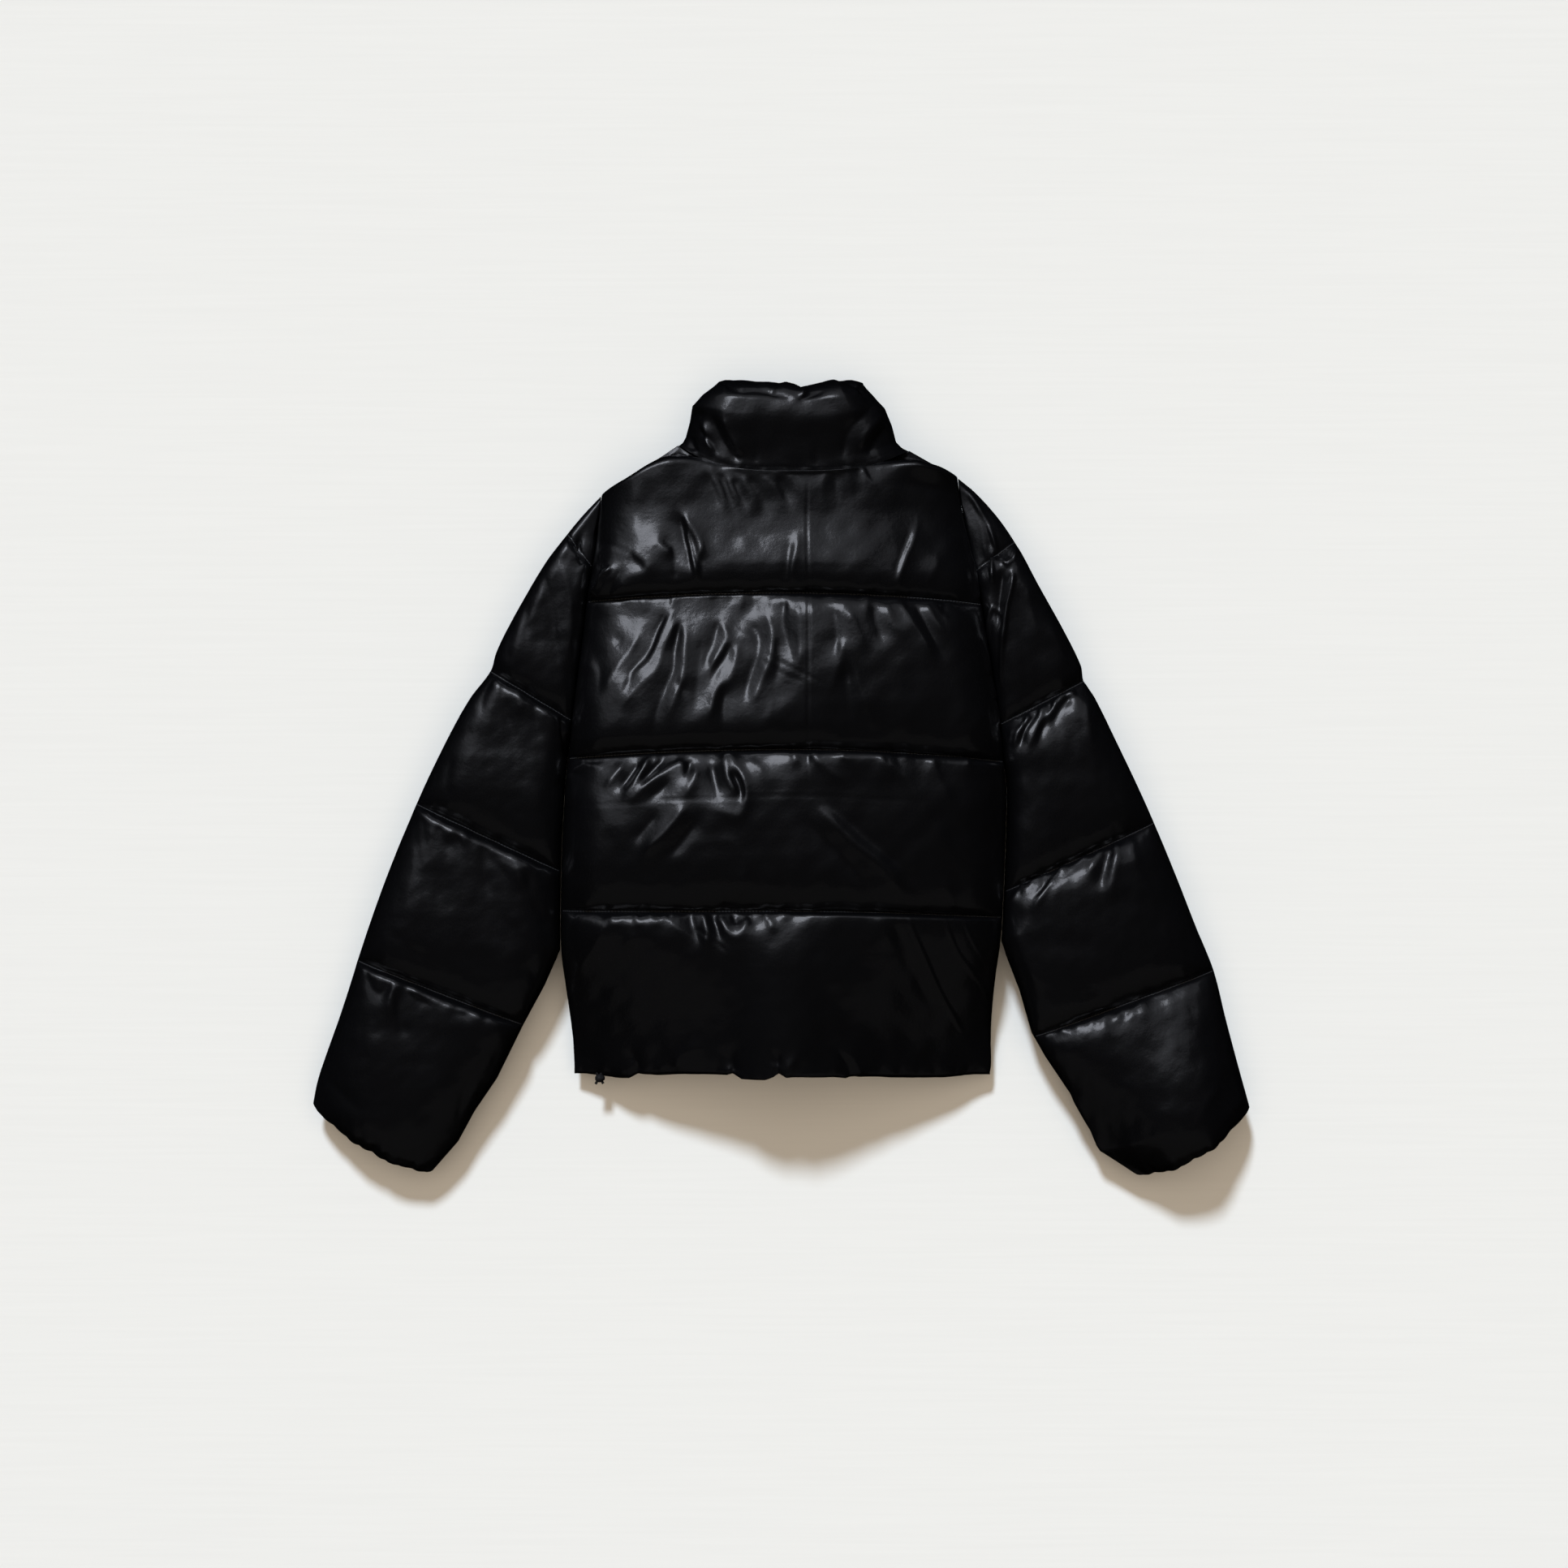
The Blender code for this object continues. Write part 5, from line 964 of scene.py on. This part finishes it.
def make_sleeve(left):
    if left:
        lines, fold, inner, edge = SLEEVE_LEFT_LINES, SLEEVE_LEFT_OUTER, SLEEVE_LEFT_INNER, EDGE_LEFT
        underarm, bow, out, creases = UNDERARM_LEFT, CUFF_BOW_LEFT, -1.0, LEFT_CREASES
    else:
        lines, fold, inner, edge = SLEEVE_RIGHT_LINES, SLEEVE_RIGHT_OUTER, SLEEVE_RIGHT_INNER, EDGE_RIGHT
        underarm, bow, out, creases = UNDERARM_RIGHT, CUFF_BOW_RIGHT, 1.0, RIGHT_CREASES
    half_cols = dense(84, 0.72)
    t_over = half_cols[::-1]                 # 1 at the inner edge to 0 at the outer fold
    t_all = np.concatenate([t_over, t_over[::-1][1:]])
    over = np.concatenate([np.ones(len(t_over)), np.zeros(len(t_over) - 1)]).astype(bool)
    rows = []
    for k in range(5):
        shares = dense((14, 64, 70, 74, 76)[k], 0.6)
        rows += [(k, f) for f in (shares[:-1] if k < 4 else shares)]
    pts = np.zeros((len(rows), len(t_all), 3))
    ks, fs = [], []
    for i, (k, f) in enumerate(rows):
        a, b = lines[k], lines[k + 1]
        y_out, y_in = lerp(a[0], b[0], f), lerp(a[1], b[1], f)
        is_open = y_in > underarm
        x_out = float(smooth_at(fold, y_out))
        if y_in >= inner[0][0]:
            gap = lerp(1.2, 0.3, step((y_in - underarm + 20) / 40.0))
            x_in = float(smooth_at(edge, y_in)) + out * gap
        else:
            x_in = float(straight_at(inner, y_in))
        rise_top = float(soft_table(SLEEVE_SHAPE_LEFT if left else SLEEVE_SHAPE_RIGHT, f)) if k else f * 0.6
        flat = min(1.0, math.sqrt(max(0.0, 1 - (2 * f - 1) ** 2)) / 0.8)
        plane = lerp(a[2], b[2], f)
        z_top = lerp(lerp(a[3], b[3], f), a[4], rise_top)
        z_low = lerp(a[5], b[5], f) * (1 - flat) ** 1.2 if k else lerp(a[5], b[5], f)
        bend = bow * max(0.0, (f - 0.5) / 0.5) ** 2 if k == 4 else 0.0
        t = t_all
        wide = 0.30 if left else 0.36
        if k == 4:
            wide = lerp(wide, 0.5, step(f))
        r = np.where(over, rounded(np.minimum(t, 1 - t) / wide, lerp(2.6, 2.2, step(f)) if k == 4 else 2.6),
                     rounded(2 * np.minimum(t, 1 - t), 2.3))
        if k == 4:
            r = np.where(over, r * (1.0 - (0.30 if left else 0.22) * step(f) * np.abs(2.0 * t - 1.0) ** 3), r)
        o = float(armhole(y_in, edge[0][0], underarm)) if is_open else 0.0
        base = np.full_like(t, plane)
        join = t >= 0.5
        base = np.where(join & over, lerp(plane, Z_SEAM + 0.3 + ARMHOLE_OPEN * o, 1.0 if is_open else 0.0), base)
        base = np.where(join & ~over, lerp(plane, Z_SEAM - 0.2 - ARMHOLE_OPEN * o, 1.0 if is_open else 0.0), base)
        tilt = 0.0 if left or k < 4 else 20.0 * step(f)
        far = np.where(over, z_top + tilt * (1.0 - 2.0 * t + 1.0 * np.sin(np.pi * t)), z_low)
        x = lerp(x_out, x_in, t)
        y = lerp(y_out, y_in, t) - bend * np.sin(np.pi * np.clip(t, 0, 1)) ** 0.8
        pts[i] = np.stack([x, y, lerp(base, far, r)], 1)
        ks.append(k)
        fs.append(f)
    ks, fs = np.array(ks)[:, None], np.array(fs)[:, None]
    n = normals(pts)
    x, y = pts[..., 0], pts[..., 1]
    upper = over[None, :] * np.ones_like(x) > 0.5
    on_seam = np.where((ks == 4) & (fs > 0.5), 1.0, step(np.minimum(fs, 1 - fs) / 0.04)) * np.ones_like(x)
    on_seam = np.where(ks == 0, 0.6, on_seam)
    pins = (np.zeros_like(x), np.zeros_like(x))
    for path, high, wide, lean, fade in creases:
        pin(pins, x, y, run_through(chart(path)), high * (0.75 if left else 1.0), wide, fade)
    under = np.zeros_like(x)
    seed = 100 if left else 140
    for k in range(1, 5):
        a = lines[k]
        xo = float(smooth_at(fold, a[0]))
        xi = float(smooth_at(edge, a[1])) if a[1] >= inner[0][0] else float(straight_at(inner, a[1]))
        line = np.stack([lerp(xo, xi, np.linspace(0.02, 0.98, 40)), lerp(a[0], a[1], np.linspace(0.02, 0.98, 40))], 1)
        axis = (-0.45 if left else 0.45, -1.0)
        gathers(pins, x, y, line, axis, (5, 12), (5, 22), (2.0, 4.0), (0.4, 1.4), seed + k)
        gathers(pins, x, y, line, (-axis[0], 1.0), (7, 16), (5, 20), (2.2, 4.4), (0.4, 1.2), seed + 10 + k)
        gathers(under, x, y, line, axis, (8, 18), (8, 34), (3.0, 5.0), (0.5, 1.8), seed + 20 + k)
        gathers(under, x, y, line, (-axis[0], 1.0), (8, 18), (8, 34), (3.0, 5.0), (0.5, 1.8), seed + 30 + k)
    e = np.stack([x[:, 0], y[:, 0]], 1)
    e = e[e[:, 1] > underarm - 60][::4]
    gathers(pins, x, y, e, (out, -0.3), (9, 22), (8, 28), (2.8, 5.5), (0.4, 1.5), seed + 41)
    cuff = np.stack([x[-1, :len(t_over)], y[-1, :len(t_over)]], 1)[2:-2:3]
    gathers(pins, x, y, cuff, (-out * 0.45, 1.0), (7, 15), (8, 24), (2.8, 5.0), (0.6, 1.8), seed + 42)
    sewn = ((np.minimum(fs, 1 - fs) < 0.004) & ~((ks == 4) & (fs > 0.5))) * np.ones_like(x) > 0.5
    pins[0][sewn | ~upper] += 30.0
    pins[1][~upper] = 0.0
    gathers(under, x, y, cuff, (-out * 0.45, 1.0), (7, 15), (8, 26), (2.8, 5.0), (0.8, 2.2), seed + 43)
    soft = (0.7 if left else 0.9) * noise_field(x, y, 90, seed, 2) + 0.3 * noise_field(x, y, 30, seed + 1, 2)
    t = t_all[None, :] * np.ones_like(x)
    inside = step(np.minimum(t, 1 - t) / 0.07)
    drawn = soften(stretch(pins, pts, SLEEVE_REACH))
    for path, high, wide in SLEEVE_RIMS:
        crease(drawn, x, y, run_through(chart(path)), high, wide, (0.12, 0.12), hat=0.1)
    d = np.where(upper, drawn + soft * inside * on_seam, (under + soft) * step((pts[..., 2] - 0.5) / 8.0) * inside * on_seam)
    p = pts + n * d[..., None]
    p[..., 2] = np.maximum(p[..., 2], 0.25)

    # cuff: scalloped by the elastic, then rolled in
    rng = np.random.default_rng(seed + 50)
    tt = t_all
    scallop = 1.6 * np.abs(np.sin(np.pi * (tt * 9.3 + 0.3))) ** 0.7 + 1.0 * np.sin(2 * np.pi * (tt * 3.1 + 0.2)) - 1.0
    reach = step((fs - 0.9) / 0.1) * (ks == 4)
    axis = np.array([0.35 * out, -0.94, 0.0])
    p += (reach * scallop[None, :] * np.sin(np.pi * tt) ** 0.3)[..., None] * axis
    rows2 = []
    last = p[-1]
    zc = 28.0
    for a in (0.12, 0.3, 0.5, 0.72, 0.9, 1.0):
        q = last.copy()
        s = math.sin(a * math.pi / 2)
        r = np.where(tt < 0.5, rounded(2 * tt, 2.3), rounded(2 * (1 - tt), 2.3))
        target = zc + np.where(over, 6.5, -6.5) * r
        inset = 0.10 * s
        tq = lerp(tt, 0.5, inset * 2)
        m = len(t_over)
        for c in (0, 1):
            q[:m, c] = np.interp(tq[:m], t_over[::-1], last[:m, c][::-1])
            q[m:, c] = np.interp(tq[m:], tt[m - 1:], last[m - 1:, c])
        q[:, 2] = lerp(last[:, 2], target, s)
        q += axis * 2.6 * math.sin(a * math.pi)
        rows2.append(q)
    inner_rows = []
    for go in (6.0, 20.0, 45.0, 80.0, 130.0):
        q = rows2[-1].copy()
        q -= axis * go
        q[:, 2] = lerp(rows2[-1][:, 2], lerp(28.0, 33.0, go / 130.0) + (rows2[-1][:, 2] - 28.0) * 1.0, 1.0)
        inner_rows.append(q)
    seams = [i for i, (k, f) in enumerate(rows) if k > 0 and f == 0]
    return np.concatenate([p, np.array(rows2), np.array(inner_rows)], 0), p[:, :len(t_over)], seams


# ---------------------------------------------------------------- the collar
COLLAR_CREASES = (
    (((876, 514), (884, 535), (897, 556), (912, 573)), 3.4, 3.4, 0.2, (0.2, 0.15)),
    (((866, 520), (872, 545), (884, 565)), -2.4, 4.0, 0.0, (0.2, 0.3)),
    (((890, 518), (902, 545), (918, 566)), -2.2, 5.0, 0.0, (0.2, 0.3)),
    (((1081, 495), (1066, 514), (1048, 530), (1040, 552), (1038, 572)), 2.8, 4.4, 0.2, (0.2, 0.2)),
    (((1094, 528), (1080, 546), (1066, 566)), 2.8, 3.6, 0.2, (0.15, 0.2)),
    (((1088, 512), (1070, 534), (1056, 556)), -2.2, 4.0, 0.0, (0.2, 0.3)),
    (((853, 514), (860, 512), (868, 517)), 2.4, 3.0, 0.0, (0.1, 0.3)),
    (((849, 540), (854, 550), (860, 560)), 2.6, 3.0, 0.0, (0.1, 0.2)),
    (((862, 530), (874, 546), (886, 566)), 1.8, 3.0, 0.0, (0.2, 0.2)),
    (((889, 474), (900, 482), (914, 488), (930, 487), (948, 489), (966, 494), (983, 500)), 2.8, 4.4, 0.2, (0.1, 0.2)),
    (((983, 500), (990, 494), (1002, 490), (1016, 484)), 2.6, 4.0, 0.2, (0.15, 0.3)),
    (((989, 478), (989, 494)), -3.6, 3.2, 0.0, (0.05, 0.4)),
    (((1042, 476), (1058, 484), (1072, 498)), 2.2, 5.0, 0.0, (0.2, 0.3)),
    (((900, 520), (940, 516), (985, 514), (1030, 512)), 0.3, 9.0, 0.0, (0.3, 0.3)),
    (((930, 574), (934, 556), (932, 540)), 1.4, 4.0, 0.0, (0.1, 0.5)),
    (((1004, 578), (1006, 560), (1004, 544)), 1.4, 4.0, 0.0, (0.1, 0.5)),
)
# top edge of the collar: chart x, chart y
COLLAR_EDGE = ((885, 470.5), (898, 472), (922, 473), (945, 474.2), (959, 475.5), (966, 474), (978, 476), (988, 480),
               (1000, 477), (1019, 474), (1027, 472), (1032, 471), (1038, 473), (1055, 471.2), (1063, 472))


def make_collar():
    t_half = np.linspace(0, 0.5, max(10, 44))
    under_l = t_half[::-1]
    over_t = dense(150, 0.45)
    under_r = (1 - t_half)[::-1]
    cols = [("u", t) for t in under_l] + [("o", t) for t in over_t[1:]] + [("u", t) for t in under_r[1:]]
    kind = np.array([c[0] == "o" for c in cols])
    tt = np.array([c[1] for c in cols])
    left_half = np.arange(len(cols)) < len(under_l)
    vs = dense(72, 0.55)
    tab = np.array(COLLAR_ROWS)
    pts = np.zeros((len(vs), len(cols), 3))
    for i, v in enumerate(vs):
        xl = float(np.interp(v, tab[:, 0], tab[:, 1]))
        xr = float(np.interp(v, tab[:, 0], tab[:, 2]))
        zo = float(soft_table([(r[0], r[3]) for r in COLLAR_ROWS], v))
        zu = float(np.interp(v, tab[:, 0], tab[:, 4]))
        ends = np.where(tt < 0.5, COLLAR_TOP[0], COLLAR_TOP[2])
        y1 = lerp(COLLAR_TOP[1], ends, (2 * tt - 1) ** 2)
        y0 = np.where(kind, neck_y(tt, BACK_NECK), neck_y(tt, FRONT_NECK)) + 0.3
        y = lerp(y0, y1, v)
        mid = float(centre_x(lerp(FRONT_NECK["low"], 388.0, v)))
        x_over = lerp(xl, xr, tt)
        x_under = np.where(tt <= 0.5, lerp(xl, mid - 5.0, 2 * tt), lerp(xr, mid + 5.0, 2 * (1 - tt)))
        x = np.where(kind, x_over, x_under)
        r = rounded(np.minimum(tt, 1 - tt) / 0.25, 2.3)
        z = lerp(Z_SEAM + 0.5, np.where(kind, zo, zu), r)
        near_zip = np.where(kind, 1.0, rounded(np.abs(x - mid) / 22.0))
        z = np.where(kind, z, np.maximum(z, lerp(16.0, z, near_zip)))
        pts[i] = np.stack([x, y, z], 1)
    n = normals(pts)
    x, y = pts[..., 0], pts[..., 1]
    v = vs[:, None] * np.ones_like(x)
    over = kind[None, :] * np.ones_like(x) > 0.5
    pins, under = (np.zeros_like(x), np.zeros_like(x)), np.zeros_like(x)
    for path, high, wide, lean, fade in COLLAR_CREASES:
        pin(pins, x, y, run_through(chart(path), 3.0), high * CREASE_HIGH, wide, fade)
    xs = np.linspace(NECK_LEFT[0], NECK_RIGHT[0], 60)
    base_line = np.stack([xs, neck_y((xs - xs[0]) / (xs[-1] - xs[0]), BACK_NECK)], 1)
    gathers(pins, x, y, base_line, (0, 1), (6, 14), (5, 16), (2.2, 4.2), (0.3, 1.0), 201)
    top_line = np.stack([np.linspace(-60, 78, 40), np.full(40, 387.0)], 1)
    gathers(pins, x, y, top_line, (0, -1), (6, 16), (5, 16), (2.2, 4.4), (0.4, 1.2), 202)
    pins[0][~over] += 30.0
    pins[1][~over] = 0.0
    pins[0][0] += 30.0
    gathers(under, x, y, top_line, (0, -1), (6, 16), (6, 30), (2.6, 5.0), (0.5, 1.8), 203)
    soft = 0.8 * noise_field(x, y, 60, 204, 2)
    drawn = soften(stretch(pins, pts, COLLAR_REACH))
    inside = step(np.minimum(tt, 1 - tt) / 0.04)[None, :]
    on_seam = step(v / 0.05)
    d = np.where(over, drawn + soft * inside * on_seam, (under + soft) * step((pts[..., 2] - 0.5) / 6.0) * inside * on_seam)
    p = pts + n * d[..., None]
    p[..., 2] = np.maximum(p[..., 2], 0.25)
    # top edge as it lies
    ce = np.array(COLLAR_EDGE)
    edge_y = np.interp(x[-1], (ce[:, 0] - 963) * CHART, (959.5 - ce[:, 1]) * CHART)
    p[..., 1] += step((v - 0.7) / 0.3) * (edge_y - y[-1])[None, :]
    # roll over the top and go down inside
    rows2, last = [], p[-1]
    for a in (0.15, 0.35, 0.6, 0.85, 1.0):
        q = last.copy()
        s = math.sin(a * math.pi / 2)
        arch = rounded(np.minimum(tt, 1 - tt) / 0.25, 2.3)
        target = np.where(kind, Z_SEAM + 0.5 + 10.5 * arch, Z_SEAM + 0.5 - 1.2 * arch)
        q[:, 2] = lerp(last[:, 2], target, s)
        xm = 0.5 * (last[:, 0].min() + last[:, 0].max())
        q[:, 0] = lerp(last[:, 0], xm, 0.16 * s)
        q[:, 1] += 2.2 * math.sin(a * math.pi)
        rows2.append(q)
    inner = []
    for vv in np.linspace(0.96, 0.02, 12):
        q = rows2[-1].copy()
        base = pts[0]
        ref = p[int(round(vv * (len(vs) - 1)))]
        xm = 0.5 * (ref[:, 0].min() + ref[:, 0].max())
        q[:, 0] = lerp(ref[:, 0], xm, 0.13)
        q[:, 1] = lerp(ref[:, 1], 340.0, 0.0)
        inner.append(q)
    return np.concatenate([p, np.array(rows2), np.array(inner)], 0), p


# ---------------------------------------------------------------- the stitching
def seam_thread(line, lift, pitch=3.3, radius=0.42):
    """A sewn thread along line (points in mm): one bead a stitch, drawn thin where it dips into the cloth."""
    seg = np.linalg.norm(np.diff(line, axis=0), axis=1)
    start = np.concatenate([[0], np.cumsum(seg)])
    s = np.arange(0.0, start[-1], pitch / 6.0)
    mid = np.stack([np.interp(s, start, line[:, a]) for a in range(3)], 1)
    wave = np.abs(np.sin(np.pi * s / pitch)) ** 0.5
    thick = radius * (0.35 + 0.65 * wave)
    mid[:, 2] += lift * (0.55 + 0.45 * wave)
    along = np.gradient(mid, axis=0)
    along /= np.maximum(np.linalg.norm(along, axis=1, keepdims=True), 1e-9)
    side = np.cross(along, np.array([0.0, 0.0, 1.0]))
    side /= np.maximum(np.linalg.norm(side, axis=1, keepdims=True), 1e-9)
    up = np.cross(side, along)
    turn = np.linspace(0.0, 2.0 * math.pi, 7)
    ring = side[:, None] * np.cos(turn)[None, :, None] + up[:, None] * np.sin(turn)[None, :, None]
    return mid[:, None] + ring * thick[:, None, None]


# ---------------------------------------------------------------- materials
def shell_material():
    m = bpy.data.materials.new("glossy_nylon_cloth")
    m.use_nodes = True
    nt = m.node_tree
    b = nt.nodes["Principled BSDF"]
    b.inputs["Base Color"].default_value = (0.0019, 0.0019, 0.0024, 1.0)
    b.inputs["Roughness"].default_value = 0.34
    b.inputs["IOR"].default_value = 1.5
    b.inputs["Coat Weight"].default_value = 0.55
    b.inputs["Coat Roughness"].default_value = 0.13
    b.inputs["Coat IOR"].default_value = 1.5
    co = nt.nodes.new("ShaderNodeTexCoord")
    fine = nt.nodes.new("ShaderNodeTexNoise")
    fine.inputs["Scale"].default_value = 210.0
    fine.inputs["Detail"].default_value = 3.0
    nt.links.new(co.outputs["Object"], fine.inputs["Vector"])
    bump = nt.nodes.new("ShaderNodeBump")
    bump.inputs["Strength"].default_value = 0.35
    bump.inputs["Distance"].default_value = 0.0005
    nt.links.new(fine.outputs["Fac"], bump.inputs["Height"])
    weave = nt.nodes.new("ShaderNodeTexNoise")
    weave.inputs["Scale"].default_value = 2600.0
    weave.inputs["Detail"].default_value = 1.0
    nt.links.new(co.outputs["Object"], weave.inputs["Vector"])
    bump2 = nt.nodes.new("ShaderNodeBump")
    bump2.inputs["Strength"].default_value = 0.12
    bump2.inputs["Distance"].default_value = 0.00012
    nt.links.new(weave.outputs["Fac"], bump2.inputs["Height"])
    nt.links.new(bump.outputs["Normal"], bump2.inputs["Normal"])
    nt.links.new(bump2.outputs["Normal"], b.inputs["Normal"])
    nt.links.new(bump2.outputs["Normal"], b.inputs["Coat Normal"])
    return m


def plain_material(name, colour, rough, metal=0.0, grain=0.0):
    m = bpy.data.materials.new(name)
    m.use_nodes = True
    nt = m.node_tree
    b = nt.nodes["Principled BSDF"]
    b.inputs["Base Color"].default_value = colour + (1.0,)
    b.inputs["Roughness"].default_value = rough
    b.inputs["Metallic"].default_value = metal
    co = nt.nodes.new("ShaderNodeTexCoord")
    tex = nt.nodes.new("ShaderNodeTexNoise")
    tex.inputs["Scale"].default_value = 900.0
    nt.links.new(co.outputs["Object"], tex.inputs["Vector"])
    bump = nt.nodes.new("ShaderNodeBump")
    bump.inputs["Strength"].default_value = 0.3
    bump.inputs["Distance"].default_value = grain or 0.0001
    nt.links.new(tex.outputs["Fac"], bump.inputs["Height"])
    nt.links.new(bump.outputs["Normal"], b.inputs["Normal"])
    return m


def floor_material():
    m = bpy.data.materials.new("pale_table")
    m.use_nodes = True
    nt = m.node_tree
    b = nt.nodes["Principled BSDF"]
    b.inputs["Roughness"].default_value = 1.0
    b.inputs["Specular IOR Level"].default_value = 0.0
    co = nt.nodes.new("ShaderNodeTexCoord")
    stretch = nt.nodes.new("ShaderNodeMapping")
    stretch.inputs["Scale"].default_value = (6.0, 260.0, 1.0)
    nt.links.new(co.outputs["Object"], stretch.inputs["Vector"])
    tex = nt.nodes.new("ShaderNodeTexNoise")
    tex.inputs["Scale"].default_value = 1.0
    tex.inputs["Detail"].default_value = 2.0
    nt.links.new(stretch.outputs["Vector"], tex.inputs["Vector"])
    ramp = nt.nodes.new("ShaderNodeValToRGB")
    ramp.color_ramp.elements[0].position = 0.3
    ramp.color_ramp.elements[1].position = 0.7
    ramp.color_ramp.elements[0].color = (0.800, 0.800, 0.800, 1.0)
    ramp.color_ramp.elements[1].color = (0.815, 0.815, 0.815, 1.0)
    nt.links.new(tex.outputs["Fac"], ramp.inputs["Fac"])
    nt.links.new(ramp.outputs["Color"], b.inputs["Base Color"])
    return m


# ---------------------------------------------------------------- build
shell = shell_material()
metal = plain_material("satin_black_metal", (0.03, 0.03, 0.033), 0.32, 1.0)
tape = plain_material("woven_zip_tape", (0.008, 0.008, 0.009), 0.6)
cord = plain_material("braided_cord", (0.006, 0.006, 0.007), 0.65, grain=0.0004)


def dress(obj, mat, node, body="jacket"):
    obj.data.materials.append(mat)
    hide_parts(*([node] if isinstance(node, str) else node))
    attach(obj, body)
    return obj


back_full, back_skin, back_seams = finish_back()
dress(skin("back_cloth", [(back_full, True)]), shell, "back")
dress(skin("front_left_cloth", [(make_front(True), False)]), shell, "front_left")
dress(skin("front_right_cloth", [(make_front(False), True)]), shell, "front_right")
sl, sl_skin, sl_seams = make_sleeve(True)
dress(skin("sleeve_left_cloth", [(sl, False)]), shell, ("sleeve_left_upper", "sleeve_left_lower"))
sr, sr_skin, sr_seams = make_sleeve(False)
dress(skin("sleeve_right_cloth", [(sr, True)]), shell, ("sleeve_right_upper", "sleeve_right_lower"))
col, col_skin = make_collar()
dress(skin("collar_cloth", [(col, True)]), shell, "collar")

# the thread is a grey lighter than the black cloth, so each stitch line shows as a thin bright line: part thread
# colour, part painted highlight
thread_and_painted_highlight = plain_material("sewing_thread_and_painted_highlight", (0.026, 0.027, 0.031), 0.55)
threads = []
for grid, where, first, count in ((back_skin, back_seams, 2, -2), (sl_skin, sl_seams, 2, -2), (sr_skin, sr_seams, 2, -2)):
    for i in where:
        threads.append((seam_thread(grid[i, first:count], 2.0 if grid is back_skin else 0.9), False))
dress(skin("quilting_stitches", threads), thread_and_painted_highlight, "back")

for name, mat in (("zip_chain", tape), ("zip_slider", metal), ("zip_pull", metal), ("hem_cord_knot", cord)):
    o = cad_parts[name]
    o.data.materials.clear()
    o.data.materials.append(mat)

# ---------------------------------------------------------------- stage, lights, camera
bpy.ops.mesh.primitive_plane_add(size=60.0, location=(0, 0, -0.0002))
floor = bpy.context.active_object
floor.name = "table_top"
floor.data.materials.append(floor_material())
floor.visible_glossy = False

AZ = math.radians(-13.0)
EL = math.radians(43.5)


def toward(az, el):
    return (math.sin(az) * math.cos(el), math.cos(az) * math.cos(el), math.sin(el))


def aim(obj, direction):
    from mathutils import Vector
    obj.rotation_mode = "QUATERNION"
    obj.rotation_quaternion = Vector(direction).to_track_quat("Z", "Y")


sun_data = bpy.data.lights.new("key_sun", "SUN")
sun_data.energy = 3.0
sun_data.color = (0.853, 0.98, 1.088)
sun_data.angle = math.radians(8.5)
sun = bpy.data.objects.new("key_sun", sun_data)
bpy.context.scene.collection.objects.link(sun)
aim(sun, toward(AZ, EL))
sun.visible_glossy = False


lamp = bpy.data.lights.new("overhead", "SUN")
lamp.energy = 1.10
lamp.color = (1.0, 0.8365, 0.644)
lamp.angle = math.radians(75.0)
overhead = bpy.data.objects.new("overhead", lamp)
bpy.context.scene.collection.objects.link(overhead)
aim(overhead, (0.0, 0.0, 1.0))
overhead.visible_glossy = False


def panel(name, az, el, distance, wide, high, radiance, colour=(1, 1, 1), centre=(0.0, 0.0, 0.05)):
    data = bpy.data.lights.new(name, "AREA")
    data.shape = "RECTANGLE"
    data.size, data.size_y = wide, high
    data.energy = radiance * math.pi * wide * high
    data.color = colour
    o = bpy.data.objects.new(name, data)
    bpy.context.scene.collection.objects.link(o)
    d = toward(math.radians(az), math.radians(el))
    o.location = [c + distance * k for c, k in zip(centre, d)]
    aim(o, d)
    o.visible_diffuse = False
    o.visible_camera = False
    return o


panel("key_softbox", -26.0, 47.0, 2.8, 1.15, 1.1, 4.6, (0.93, 0.97, 1.08))
panel("ceiling_glow", -18.0, 42.0, 3.0, 4.2, 4.2, 0.24, (0.95, 0.97, 1.06))
panel("low_fill", 180.0, 32.0, 3.0, 5.0, 3.0, 0.045, (1.0, 0.98, 0.98))

world = bpy.data.worlds.new("room")
bpy.context.scene.world = world
world.use_nodes = True
bg = world.node_tree.nodes["Background"]
bg.inputs["Color"].default_value = (0.52, 0.435, 0.335, 1.0)
bg.inputs["Strength"].default_value = 0.30
world.cycles_visibility.glossy = False

cam_data = bpy.data.cameras.new("camera")
cam_data.lens = 85.0
cam_data.sensor_width = 36.0
cam_data.clip_end = 100.0
cam = bpy.data.objects.new("camera", cam_data)
bpy.context.scene.collection.objects.link(cam)
cam.location = (0.0024, -0.0052, 1.5456 * 85.0 / 36.0 + 0.045)
cam.rotation_euler = (0.0, 0.0, 0.0)
bpy.context.scene.camera = cam
bpy.context.scene.view_settings.view_transform = "Standard"
bpy.context.scene.view_settings.look = "None"
